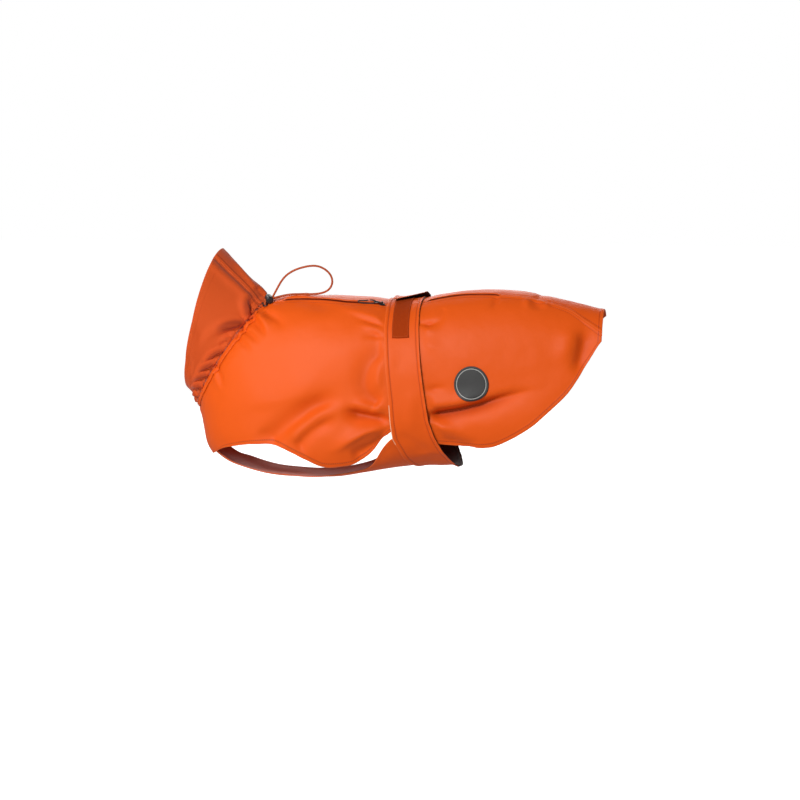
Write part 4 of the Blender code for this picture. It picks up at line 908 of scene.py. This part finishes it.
for patch in (loop_patch, hook_patch):
    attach(patch, "coat")

# Zip -----------------------------------------------------------------------------------------
# A closed nylon coil zip in the back seam. Between the panels only a narrow strip of its tapes and
# the coil show; the slider stands at the front edge of the belly band.

ZIP_CHAIN = 2.0         # width of the strip that shows
TOOTH_PITCH = 1.3
TAPE_FACE, TAPE_BACK = 0.45, 1.15       # how far its two faces lie under the panels' form
ZIP_TAPE = cloth_material("zip tape", (0.62, 0.08, 0.010), (0.66, 0.10, 0.02), 0.8, 0.4, 0.1)


def plain_material(name, colour, roughness, metallic=0.0, grain=0.02, scale=900.0):
    """Plastic or metal with a fine uneven surface."""
    made, tree, shader = new_material(name)
    place = node(tree, "ShaderNodeTexCoord").outputs["Object"]
    fine = node(tree, "ShaderNodeTexNoise", {"Vector": place, "Scale": scale, "Detail": 3.0}).outputs["Fac"]
    rough = node(tree, "ShaderNodeMapRange", {"Value": fine, "To Min": roughness * 0.8,
                                              "To Max": min(roughness * 1.25, 1.0)})
    tree.links.new(rough.outputs[0], shader.inputs["Roughness"])
    bump = node(tree, "ShaderNodeBump", {"Strength": grain, "Distance": 0.001, "Height": fine})
    tree.links.new(bump.outputs["Normal"], shader.inputs["Normal"])
    shader.inputs["Base Color"].default_value = (*colour, 1)
    shader.inputs["Metallic"].default_value = metallic
    return made


def repeat_group(name, shape_kind, shape_inputs):
    """Puts one small shape on every point of a mesh, along its run and facing out."""
    tree, given, result = group(
        name, "GeometryNodeTree",
        [("Geometry", "NodeSocketGeometry", None), ("Length", "NodeSocketFloat", 0.003),
         ("Width", "NodeSocketFloat", 0.0006), ("Height", "NodeSocketFloat", 0.0004),
         ("Material", "NodeSocketMaterial", None)],
        [("Geometry", "NodeSocketGeometry", None)])
    run = node(tree, "GeometryNodeInputNamedAttribute", {"Name": "run"}, data_type="FLOAT_VECTOR")
    out = node(tree, "GeometryNodeInputNamedAttribute", {"Name": "out"}, data_type="FLOAT_VECTOR")
    along = node(tree, "FunctionNodeAlignRotationToVector", {"Vector": run.outputs[0]}, axis="X")
    turned = node(tree, "FunctionNodeAlignRotationToVector",
                  {"Rotation": along.outputs[0], "Vector": out.outputs[0]}, axis="Z", pivot_axis="X")
    size = node(tree, "ShaderNodeCombineXYZ", {0: given["Length"], 1: given["Width"], 2: given["Height"]})
    shape = node(tree, shape_kind, shape_inputs)
    placed_on = node(tree, "GeometryNodeInstanceOnPoints", {
        "Points": given["Geometry"], "Instance": shape.outputs[0], "Rotation": turned.outputs[0],
        "Scale": size.outputs[0]})
    real = node(tree, "GeometryNodeRealizeInstances", {0: placed_on.outputs[0]})
    painted = node(tree, "GeometryNodeSetMaterial", {"Geometry": real.outputs[0],
                                                     "Material": given["Material"]})
    tree.links.new(painted.outputs[0], result["Geometry"])
    return tree


def repeated(name, tree, points, run, out, material, **sizes):
    """A plain mesh of the shape repeated at points, sizes in millimetres."""
    mesh = mesh_of(name, points)
    for label, values in (("run", run), ("out", out)):
        layer = mesh.attributes.new(label, "FLOAT_VECTOR", "POINT")
        layer.data.foreach_set("vector", values.astype(np.float32).ravel())
    made = link(name, mesh)
    modifier = made.modifiers.new("repeat", "NODES")
    modifier.node_group = tree
    sockets = {item.name: item.identifier for item in tree.interface.items_tree
               if item.item_type == "SOCKET" and item.in_out == "INPUT"}
    for label, value in sizes.items():
        modifier[sockets[label.capitalize()]] = value * MM
    modifier[sockets["Material"]] = material
    whole = bpy.data.meshes.new_from_object(made.evaluated_get(bpy.context.evaluated_depsgraph_get()))
    made.modifiers.clear()
    made.data = whole
    whole.name = name
    whole.shade_smooth()
    return made


def make_zip_tape():
    stations = np.linspace(*ZIP, 360)
    rows = np.linspace(-ZIP_CHAIN / 2, ZIP_CHAIN / 2, 7)
    v, across = np.meshgrid(stations, rows, indexing="ij")
    place = back_seam(v) + across
    points, normals = COAT.point(v, place), COAT.normal(v, place)
    outer, inner = (points - normals * depth for depth in (TAPE_FACE, TAPE_BACK))
    flat = np.stack([v * 50, across], axis=-1)
    return shell("zip_tape", outer, inner, flat, 0 * v, [ZIP_TAPE] * 3)


zip_tape = make_zip_tape()
stations = np.linspace(ZIP[0] + 0.04, ZIP[1] - 0.04, 1200)
run = travelled(COAT.point(stations, back_seam(stations)))
at = np.interp(np.arange(0.8, run[-1] - 0.8, TOOTH_PITCH / 2), run, stations)
centre = back_seam(at)
side = np.where(np.arange(len(at)) % 2, 0.42, -0.42)
ahead, behind = (COAT.point(at + step, back_seam(at + step)) for step in (0.02, -0.02))
rear = normalised(ahead - behind)
out = COAT.normal(at, centre)
across = normalised(np.cross(out, rear)) + rear * 0.35 * np.sign(side)[:, None]
TOOTH = repeat_group("Coil tooth", "GeometryNodeMeshIcoSphere", {"Radius": 0.5, "Subdivisions": 2})
COIL = plain_material("zip coil", (0.35, 0.048, 0.012), 0.4)
zip_teeth = repeated("zip_teeth", TOOTH, COAT.point(at, centre + side) - out * 0.35, across, out, COIL,
                     length=1.5, width=0.62, height=0.7)
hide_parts("zip_chain")
for piece in (zip_tape, zip_teeth):
    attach(piece, "coat")

# Stitching -----------------------------------------------------------------------------------
# Lockstitch in orange polyester thread along the turned hems, the back seam, the casing, both
# edges of the band and round the loop tape. Each stitch is one short raised grain.

STITCH_PITCH, FINE_PITCH = 3.2, 2.8
GRAIN_LONG = 0.74       # share of the pitch that each stitch covers
GRAIN_WIDE, GRAIN_HIGH, GRAIN_RISE = 0.62, 0.42, 0.08
THREAD = plain_material("orange thread", (0.66, 0.105, 0.02), 0.6, 0.0, 0.3, 4000.0)
STITCH = repeat_group("Stitch", "GeometryNodeMeshIcoSphere", {"Radius": 0.5, "Subdivisions": 1})


def stitches(name, lines, pitch):
    points, runs, outs = [], [], []
    for line, normals in lines:
        length = travelled(line)
        count = max(int(length[-1] / pitch), 2)
        at = (np.arange(count) + 0.5) * length[-1] / count
        spots, ahead = (np.stack([np.interp(at + step, length, line[:, k]) for k in range(3)], axis=1)
                        for step in (0.0, 0.6))
        out = normalised(np.stack([np.interp(at, length, normals[:, k]) for k in range(3)], axis=1))
        points.append(spots + out * GRAIN_RISE)
        runs.append(normalised(ahead - spots))
        outs.append(out)
    return repeated(name, STITCH, np.concatenate(points), np.concatenate(runs), np.concatenate(outs), THREAD,
                    length=pitch * GRAIN_LONG, width=GRAIN_WIDE, height=GRAIN_HIGH)


for name, lines, pitch in (
        ("left_panel_stitches", left_lines, STITCH_PITCH),
        ("right_panel_stitches", right_lines, STITCH_PITCH),
        ("collar_stitches", collar_lines, STITCH_PITCH), ("casing_stitches", casing_lines, FINE_PITCH),
        ("belly_stitches", belly_lines, STITCH_PITCH), ("band_stitches", band_lines, STITCH_PITCH),
        ("patch_stitches", patch_lines, FINE_PITCH)):
    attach(stitches(name, lines, pitch), "coat")

# Slider and pull -----------------------------------------------------------------------------
# A small black moulded slider with a pin, a dark metal tab whose eye turns on that pin, and a thin
# dark cord looped through the tab's hole. Tab and cord ride the pull.

SLIDER_AT = 5.36        # section of its pin
SLIDER_LONG, SLIDER_WIDE, SLIDER_THICK = 9.0, 7.0, 1.6
SLIDER_LOW = GAP + 0.2
LUG_LONG, LUG_THICK, LUG_APART = 2.3, 1.0, 3.7
TAB_LENGTH, TAB_WIDTH, TAB_THICK = 12.0, 5.0, 1.0
TAB_END, TAB_NECK, TAB_HOLE = 2.8, 3.2, 1.45    # hole to end, length of the neck, hole's radius
PIN_R, EYE_R, EYE_BORE, EYE_WIDE = 0.65, 1.7, 1.0, 2.0
PIN_Z = SLIDER_LOW + SLIDER_THICK + GAP + EYE_R
BLACK_PLASTIC = plain_material("black plastic", (0.012, 0.012, 0.013), 0.32)
DARK_METAL = plain_material("dark metal", (0.10, 0.095, 0.09), 0.34, 0.9, 0.03, 1500.0)


def frame_at(v, distance, ahead_v, ahead_distance, lift=0.0):
    """Place on the coat with its rearward, sideways and outward directions."""
    out = COAT.normal(v, distance)
    rear = COAT.point(*ahead_v) - COAT.point(*ahead_distance)
    rear = normalised(rear - out * (rear @ out))
    return COAT.point(v, distance) + out * lift, rear, np.cross(out, rear), out


def placed(spot, local):
    place, rear, side, out = spot
    local = np.asarray(local, float)
    return place + local[:, :1] * rear + local[:, 1:2] * side + local[:, 2:3] * out


def ring_solid(rings, closed):
    """Points and faces of rings of equal size joined in order. closed joins the last to the first."""
    rings = [np.asarray(ring, float) for ring in rings]
    n = len(rings[0])
    points = np.concatenate(rings)
    faces = []
    for k in range(len(rings) if closed else len(rings) - 1):
        a, b = k * n, (k + 1) % len(rings) * n
        faces += [(a + i, a + (i + 1) % n, b + (i + 1) % n, b + i) for i in range(n)]
    if not closed:
        faces += [tuple(range(n))[::-1], tuple(range(len(points) - n, len(points)))]
    return points, faces


def lathe(profile, axis, centre=(0, 0, 0), sides=48, closed=False):
    """Rings turned about a local axis (0 rearward, 1 sideways, 2 outward) through (radius, place)."""
    u, w = [(1, 2), (2, 0), (0, 1)][axis]
    turn = np.linspace(0, 2 * math.pi, sides, endpoint=False)
    rings = []
    for radius, at in profile:
        ring = np.tile(np.asarray(centre, float), (sides, 1))
        ring[:, axis] += at
        ring[:, u] += radius * np.cos(turn)
        ring[:, w] += radius * np.sin(turn)
        rings.append(ring)
    return ring_solid(rings, closed)


def slab(outline, low, high, round_off):
    """An upright slab over a closed outline, with rounded top and bottom edges."""
    outline = np.asarray(outline, float)
    middle = outline.mean(axis=0)
    reach = np.linalg.norm(outline - middle, axis=1, keepdims=True)
    rings = []
    for inset, z in ((round_off, low), (round_off * 0.3, low + round_off * 0.3), (0, low + round_off),
                     (0, high - round_off), (round_off * 0.3, high - round_off * 0.3), (round_off, high)):
        ring = outline + (middle - outline) / reach * inset
        rings.append(np.concatenate([ring, np.full((len(ring), 1), z)], axis=1))
    return ring_solid(rings, False)


def face_out(mesh):
    """Turn the faces of closed meshes outward."""
    shaped = bmesh.new()
    shaped.from_mesh(mesh)
    bmesh.ops.recalc_face_normals(shaped, faces=shaped.faces)
    shaped.to_mesh(mesh)
    shaped.free()


SHARP = math.radians(35)


def hard_piece(name, spot, parts, material, body="coat"):
    """One mesh of local parts, set at a place on the coat."""
    points, faces = [], []
    for part_points, part_faces in parts:
        faces += [tuple(i + sum(len(p) for p in points) for i in face) for face in part_faces]
        points.append(placed(spot, part_points))
    mesh = mesh_of(name, np.concatenate(points), faces)
    face_out(mesh)
    mesh.materials.append(material)
    mesh.shade_smooth()
    mesh.set_sharp_from_angle(angle=SHARP)
    made = link(name, mesh)
    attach(made, body)
    return made


def at_slider(step):
    return SLIDER_AT + step, back_seam(SLIDER_AT + step)


SLIDER_SPOT = frame_at(*at_slider(0.0), at_slider(0.1), at_slider(-0.2))
turn = np.linspace(0, 2 * math.pi, 56, endpoint=False)
cos, sin = np.cos(turn), np.sin(turn)
wide = SLIDER_WIDE / 2 * np.where(cos > 0, 1 - 0.55 * cos**2, 1)
plate = np.stack([SLIDER_LONG / 2 * cos, wide * np.sign(sin) * np.abs(sin) ** 0.7], axis=1)
parts = [slab(plate, SLIDER_LOW, SLIDER_LOW + SLIDER_THICK, 0.45)]
lug = np.stack([LUG_LONG / 2 * cos, LUG_THICK / 2 * sin], axis=1)
for side in (-0.5, 0.5):
    parts.append(slab(lug + [0, side * LUG_APART], SLIDER_LOW + 1.0, PIN_Z + PIN_R + 0.5, 0.2))
parts.append(lathe([(PIN_R, -LUG_APART / 2), (PIN_R, LUG_APART / 2)], 1, (0, 0, PIN_Z), 24))
slider = hard_piece("slider", SLIDER_SPOT, parts, BLACK_PLASTIC)
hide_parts("zip_slider")

reach = TAB_END + np.maximum(cos, 0) ** 4 * (TAB_LENGTH - TAB_NECK - 2 * TAB_END)
rim = np.stack([reach * cos, np.clip(reach * sin, -TAB_WIDTH / 2, TAB_WIDTH / 2), 0 * turn], axis=1)
hole = np.stack([TAB_HOLE * cos, TAB_HOLE * sin, 0 * turn], axis=1)
rings = []
for ring, inset, z in ((hole, -0.2, -0.5), (rim, 0.25, -0.5), (rim, 0.0, -0.25), (rim, 0.0, 0.25),
                       (rim, 0.25, 0.5), (hole, -0.2, 0.5), (hole, 0.0, 0.3), (hole, 0.0, -0.3)):
    scaled = ring * (1 - inset / np.maximum(np.linalg.norm(ring, axis=1, keepdims=True), 1.0))
    rings.append(scaled + [TAB_END - TAB_LENGTH, 0, PIN_Z + z * TAB_THICK])
eye = [(EYE_R, EYE_WIDE / 2 - 0.2), (EYE_R - 0.2, EYE_WIDE / 2), (EYE_BORE + 0.15, EYE_WIDE / 2),
       (EYE_BORE, EYE_WIDE / 2 - 0.15)]
eye = [(radius, -at) for radius, at in eye] + eye[::-1]
neck = np.array([(-3.9, -1.0), (-1.25, -1.0), (-1.25, 1.0), (-3.9, 1.0)])
parts = [ring_solid(rings, True), lathe(eye, 1, (0, 0, PIN_Z), 40, True),
         slab(neck, PIN_Z - 0.45, PIN_Z + 0.45, 0.12)]
pull_tab = hard_piece("pull_tab", SLIDER_SPOT, parts, DARK_METAL, "pull")
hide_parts("zip_pull")

PULL_ROUTE = [  # rearward, sideways and outward of the pin
    (-18.0, 1.5, 1.2), (-15.0, 1.0, 1.9), (-12.2, 0.3, 1.95), (-10.4, 0.0, 1.7), (-9.3, 0.0, 1.0),
    (-9.05, 0.0, 0.0), (-9.3, 0.0, -1.0), (-10.4, 0.0, -1.75), (-13.0, -0.6, -2.3),
    (-17.0, -1.3, -2.6), (-22.0, -2.2, -2.7), (-28.0, -2.6, -2.7), (-33.0, -1.6, -2.5),
    (-34.6, 0.6, -2.4), (-33.0, 2.6, -2.3), (-29.0, 3.2, -2.0), (-24.0, 3.0, -1.2), (-20.5, 2.4, 0.0),
]
PULL_CORD, ELASTIC = 1.8, 3.0


def cord_material(name, dark, light, strands):
    """Braided cord: crossing slanted strands round its length."""
    made, tree, shader = new_material(name)
    cloth = node(tree, "ShaderNodeUVMap", uv_map="cloth").outputs["UV"]
    heights = []
    for lean in (1, -1):
        turned = node(tree, "ShaderNodeMapping", {"Vector": cloth, "Rotation": (0, 0, lean * math.pi / 4)})
        heights.append(node(tree, "ShaderNodeTexWave", {"Vector": turned.outputs[0], "Scale": strands},
                            bands_direction="X").outputs["Fac"])
    braid = node(tree, "ShaderNodeMath", {0: heights[0], 1: heights[1]}, operation="MAXIMUM").outputs[0]
    mixed = node(tree, "ShaderNodeMix", {"Factor": braid}, data_type="RGBA")
    mixed.inputs[6].default_value, mixed.inputs[7].default_value = (*dark, 1), (*light, 1)
    tree.links.new(mixed.outputs[2], shader.inputs["Base Color"])
    bump = node(tree, "ShaderNodeBump", {"Strength": 0.7, "Distance": 0.0004, "Height": braid})
    tree.links.new(bump.outputs["Normal"], shader.inputs["Normal"])
    shader.inputs["Roughness"].default_value = 0.75
    return made


def tube(name, route, diameter, material, body):
    """A round cord along a smooth curve through a route, with rounded ends. Gives its centreline."""
    length = travelled(smooth_line(route, 400))[-1]
    line = smooth_line(route, int(length / (diameter * 0.3)))
    ahead = normalised(np.gradient(line, axis=0))
    up = np.array([0.0, 0.0, 1.0])
    ups = []
    for way in ahead:
        up = normalised(up - way * (up @ way))
        ups.append(up)
    ups = np.array(ups)
    sides = np.cross(ahead, ups)
    n = 20
    turn = np.linspace(0, 2 * math.pi, n, endpoint=False)[:, None]
    size = np.full(len(line), diameter / 2)
    size[[0, -1]], size[[1, -2]] = diameter * 0.22, diameter * 0.42
    rings = [line[k] + size[k] * (np.cos(turn) * ups[k] + np.sin(turn) * sides[k]) for k in range(len(line))]
    points, faces = ring_solid(rings, False)
    mesh = mesh_of(name, points, faces)
    run = np.linspace(0, length, len(line))
    round_place = np.arange(n) / n * math.pi * diameter
    lay_out(mesh, np.stack([np.repeat(run, n), np.tile(round_place, len(line))], axis=1))
    mesh.materials.append(material)
    mesh.shade_smooth()
    face_out(mesh)
    made = link(name, mesh)
    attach(made, body)
    return made, line


PULL_BRAID = cord_material("pull cord", (0.012, 0.010, 0.010), (0.05, 0.042, 0.04), 420.0)
pull_line, pull_path = tube("pull_line", placed(SLIDER_SPOT, np.array(PULL_ROUTE) + [0, 0, PIN_Z]),
                            PULL_CORD, PULL_BRAID, "pull")
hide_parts("pull_cord")

# Badge ---------------------------------------------------------------------------------------
# A round charcoal badge of moulded rubber, 50 mm across, bonded to the left panel. It is plain but
# for a pale raised ring near its edge.

BADGE_AT = (7.67, 173)          # section, distance from the spine
BADGE_R, BADGE_THICK, BADGE_SIDES = 24.8, 1.8, 96
BADGE_RING = (20.4, 21.6, 0.5)          # radii of the raised ring, and its height
PALE_RINGS = (10, 12)                   # rings of the profile between which it lies


def cloth_under(v, distance):
    """The left panel's height near a place, smoothed over the stiffness of the badge."""
    heights = []
    for rear, down in ((0, 0), (7, 0), (-7, 0), (0, 7), (0, -7)):
        at_v, at_d = COAT.offset(v, distance, rear + 0 * v, down + 0 * v)
        start, end = seam_line(at_v, 1), hem_line(at_v, 1)
        heights.append(panel_lift(at_v, at_d, (at_d - start) / (end - start), 1)[0])
    return np.maximum(np.mean(heights, axis=0), heights[0])


def make_badge():
    inner, outer, rise = BADGE_RING
    top = BADGE_THICK
    profile = [(BADGE_R - 0.7, -0.1), (BADGE_R - 0.1, 0.1), (BADGE_R, 0.4), (BADGE_R, top - 0.6),
               (BADGE_R - 0.25, top - 0.2), (BADGE_R - 0.8, top), (23.4, top), (22.8, top)]
    side = [(0.35, top - 0.05), (0.2, top - 0.25), (0.05, top), (-0.2, top + rise)]
    profile += [(outer + away, high) for away, high in side]
    profile += [(inner - away, high) for away, high in side[::-1]]
    profile += [(r, top + 0.25 * (1 - (r / 20) ** 2)) for r in (19.5, 18, 15, 12, 9, 6, 3, 1)]
    turn = np.linspace(0, 2 * math.pi, BADGE_SIDES, endpoint=False)
    rings = []
    v0, d0 = (np.full(turn.shape, float(x)) for x in BADGE_AT)
    for radius, high in profile:
        v, d = COAT.offset(v0, d0, radius * np.cos(turn), radius * np.sin(turn))
        rings.append(COAT.point(v, d) + COAT.normal(v, d) * (cloth_under(v, d) + 0.15 + high)[:, None])
    return ring_solid(rings, False)


mesh = mesh_of("round_badge", *make_badge())
RUBBER = plain_material("charcoal rubber", (0.030, 0.029, 0.028), 0.55, 0.0, 0.12, 700.0)
PALE_RING = plain_material("pale ring", (0.42, 0.42, 0.40), 0.5, 0.0, 0.06, 700.0)
mesh.materials.append(RUBBER)
mesh.materials.append(PALE_RING)
for face in mesh.polygons:
    ring = min(face.vertices) // BADGE_SIDES
    face.material_index = int(PALE_RINGS[0] <= ring <= PALE_RINGS[1] and len(face.vertices) == 4)
mesh.shade_smooth()
mesh.set_sharp_from_angle(angle=math.radians(50))
badge = link("round_badge", mesh)
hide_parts("badge")
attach(badge, "coat")

# Cord lock, eyelets and elastic --------------------------------------------------------------
# A black barrel cord lock with a sprung button, two dark eyelets in the neck casing and a braided
# elastic cord that comes out of one, passes the lock, makes a free loop and goes back.

LOCK_AT = (0.62, 28)            # section, distance from the spine
LOCK_R, LOCK_LENGTH, BUTTON_R, BUTTON_LENGTH = 5.6, 13.0, 4.2, 5.0
EYELET_R, EYELET_BORE = 4.2, 2.2
EYELET_AHEAD, EYELET_APART = -8.1, 4.6
LOCK_LIFT = LOCK_R + GAP
SLOT = (8.6, 4.9)               # width and height of the way through the barrel
GRIPS, GRIP_REACH = 7, 3.9      # fine grooves round the barrel
GRIP = ((-0.32, 0.0), (-0.15, 0.22), (0.15, 0.22), (0.32, 0.0))
LOOP_ROUTE = [  # the free loop, in the row frame
    (-167, -26, 30.7), (-158, -25, 38.7), (-147, -24, 44.6), (-130, -22, 49), (-117, -21, 49.7),
    (-104, -19, 43.2), (-96, -17, 33), (-96, -15, 21.9), (-103, -13, 12.2), (-117, -12, 8),
    (-131, -12, 7.4), (-146, -14, 7.4), (-159, -19, 7.4),
]


def relaxed(points, passes):
    """A line whose corners are worn round, with its ends kept."""
    for _ in range(passes):
        points[1:-1] = (points[:-2] + 2 * points[1:-1] + points[2:]) / 4
    return points


LOCK_SPOT = frame_at(*LOCK_AT, (LOCK_AT[0] + 0.4, LOCK_AT[1] - 4), (LOCK_AT[0] - 0.2, LOCK_AT[1] + 2),
                     LOCK_LIFT)
half = LOCK_LENGTH / 2
profile = [(LOCK_R - 1.3, -half), (LOCK_R - 0.9, -half + 0.1), (LOCK_R - 0.2, -half + 0.7),
           (LOCK_R, -half + 1.5)]
for at in np.linspace(-GRIP_REACH, GRIP_REACH, GRIPS):
    profile += [(LOCK_R - painted_shade_amount, at + step) for step, painted_shade_amount in GRIP]
profile += [(LOCK_R, half - 1.5), (LOCK_R - 0.2, half - 0.6), (LOCK_R - 0.6, half - 0.1),
            (LOCK_R - 1.0, half)]
lock = hard_piece("lock_barrel", LOCK_SPOT, [lathe(profile, 1, sides=64)], BLACK_PLASTIC)
turn = np.linspace(0, 2 * math.pi, 48, endpoint=False)
oval = np.stack([reach / 2 * np.sign(way) * np.abs(way) ** 0.5
                 for reach, way in zip(SLOT, (np.cos(turn), np.sin(turn)))], axis=1)
cut_rings = [np.stack([np.full(48, x), oval[:, 0] * grow, oval[:, 1] * grow], axis=1)
             for x, grow in ((-8, 1.9), (-LOCK_R, 1.03), (-LOCK_R + 1.2, 1), (LOCK_R - 1.2, 1),
                             (LOCK_R, 1.03), (8, 1.9))]
cutter = hard_piece("lock_slot", LOCK_SPOT, [ring_solid(cut_rings, False)], BLACK_PLASTIC)
cut = lock.modifiers.new("slot", "BOOLEAN")
cut.operation, cut.object, cut.solver = "DIFFERENCE", cutter, "EXACT"
whole = bpy.data.meshes.new_from_object(lock.evaluated_get(bpy.context.evaluated_depsgraph_get()))
lock.modifiers.clear()
lock.data = whole
whole.set_sharp_from_angle(angle=SHARP)
bpy.data.objects.remove(cutter)
start = half + GAP
top = start + BUTTON_LENGTH
knob = [(BUTTON_R - 0.3, start), (BUTTON_R, start + 0.3), (BUTTON_R, top - 1.8), (BUTTON_R - 0.25, top - 0.8),
        (BUTTON_R - 1.1, top - 0.2), (BUTTON_R - 2.6, top), (0.6, top)]
button = hard_piece("lock_plunger", LOCK_SPOT, [lathe(knob, 1, sides=56)], BLACK_PLASTIC)
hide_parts("cord_lock")
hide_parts("lock_button")

rolled = [(EYELET_R, 0.1), (EYELET_R, 0.3), (EYELET_R - 0.35, 0.75), (EYELET_R - 1.0, 1.0),
          (EYELET_BORE + 0.45, 0.85), (EYELET_BORE + 0.05, 0.5), (EYELET_BORE, 0.0),
          (EYELET_R - 0.3, 0.0)]
for name, nodes, side in (("eyelet_ring_left", "eyelet_left", 1), ("eyelet_ring_right", "eyelet_right", -1)):
    low = GAP * 1.5 - LOCK_LIFT
    ring = lathe(rolled, 2, (EYELET_AHEAD, side * EYELET_APART, low), 56, True)
    eyelet = hard_piece(name, LOCK_SPOT, [ring], DARK_METAL)
    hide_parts(nodes)

strand, low = SLOT[0] / 4, 0.4 - LOCK_LIFT
rise = [(EYELET_AHEAD, EYELET_APART, low), (EYELET_AHEAD - 0.2, EYELET_APART, low + 1.6),
        (EYELET_AHEAD + 0.7, EYELET_APART - 0.9, low + 3.9), (-5.4, strand + 0.2, -0.25),
        (-2.5, strand, 0.0), (2.5, strand, 0.0), (5.8, strand, 0.1)]
up, down = placed(LOCK_SPOT, rise), placed(LOCK_SPOT, [(r, -s, h) for r, s, h in rise])[::-1]
loop = relaxed(smooth_line([up[-1], *LOOP_ROUTE, down[0]], 72), 10)
route = np.concatenate([up[:-1], loop, down[1:]])
ELASTIC_BRAID = cord_material("elastic cord", (0.20, 0.026, 0.003), (0.60, 0.095, 0.012), 300.0)
drawcord, drawcord_path = tube("drawcord", route, ELASTIC, ELASTIC_BRAID, "coat")
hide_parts("elastic_cord")

# Floor, light and camera ---------------------------------------------------------------------
# A white room without corners: a matt floor that shows no horizon, a soft key from the front left
# above, two wide fills and a narrow beam on the collar. The camera stands where the photograph's did.

FLOOR_Z, FLOOR_REACH = -0.5, 8
FLOOR_SHOWN = 0.70      # how bright the floor looks, so that it meets the white of the room
SKY_LIGHT, SKY_SHOWN = 0.20, 1.0
LIGHTS = [
    # name, kind, energy, place, what it points at, the rest
    ("key", "SUN", 2.25, (0, 0, 0), (0.26, 0.86, -0.50), {"angle": math.radians(9)}),
    ("fill", "AREA", 8, (-1.2, -2.2, 0.3), (0, 0, -0.1), {"shape": "SQUARE", "size": 1.6}),
    ("far fill", "AREA", 32, (-0.4, 2.4, 0.9), (0, 0, -0.1), {"shape": "SQUARE", "size": 1.6}),
    ("collar fill", "SPOT", 155, (-0.1, -2.4, -0.3), (-0.275, -0.06, 0.01),
     {"spot_size": math.radians(9.5), "spot_blend": 1.0, "shadow_soft_size": 0.25}),
]
AZIMUTH, ELEVATION, DISTANCE = math.radians(8), math.radians(7), 4.5
LENS, SENSOR, LOOK_AT = 139.7, 36.0, Vector((0, 0, -0.146))

corners = [(-1, -1), (1, -1), (1, 1), (-1, 1)]
floor_mesh = bpy.data.meshes.new("floor")
floor_mesh.from_pydata([(FLOOR_REACH * x, FLOOR_REACH * y, FLOOR_Z) for x, y in corners], [], [(0, 1, 2, 3)])
floor = link("floor", floor_mesh)
floor_paint, tree, paint = new_material("floor")
seen = node(tree, "ShaderNodeLightPath").outputs["Is Camera Ray"]
pale = node(tree, "ShaderNodeMath", {0: seen, 1: FLOOR_SHOWN}, operation="MULTIPLY")
tree.links.new(pale.outputs[0], paint.inputs["Emission Strength"])
paint.inputs["Base Color"].default_value = (0.6, 0.6, 0.6, 1)
paint.inputs["Emission Color"].default_value = (1, 1, 1, 1)
paint.inputs["Roughness"].default_value = 0.9
floor_mesh.materials.append(floor_paint)

world = bpy.data.worlds.new("studio")
world.use_nodes = True
sky = world.node_tree
seen = node(sky, "ShaderNodeLightPath").outputs["Is Camera Ray"]
bright = node(sky, "ShaderNodeMapRange", {"Value": seen, "To Min": SKY_LIGHT, "To Max": SKY_SHOWN})
sky.links.new(bright.outputs[0], sky.nodes["Background"].inputs["Strength"])
sky.nodes["Background"].inputs["Color"].default_value = (1.0, 1.0, 1.0, 1)
bpy.context.scene.world = world
bpy.context.scene.view_settings.view_transform = "Standard"

for name, kind, energy, place, aim, settings in LIGHTS:
    source = bpy.data.lights.new(name, kind)
    source.energy = energy
    for key, value in settings.items():
        setattr(source, key, value)
    lamp = link(name, source)
    lamp.location = place
    lamp.rotation_mode = "QUATERNION"
    lamp.rotation_quaternion = (Vector(aim) - Vector(place)).to_track_quat("-Z", "Y")

back = Vector((math.sin(AZIMUTH) * math.cos(ELEVATION), -math.cos(AZIMUTH) * math.cos(ELEVATION),
               math.sin(ELEVATION)))
camera = link("camera", bpy.data.cameras.new("camera"))
camera.data.sensor_width, camera.data.lens = SENSOR, LENS
camera.data.clip_start, camera.data.clip_end = 0.1, 60
camera.rotation_mode = "QUATERNION"
camera.location = LOOK_AT + back * DISTANCE
camera.rotation_quaternion = (-back).to_track_quat("-Z", "Y")
bpy.context.scene.camera = camera
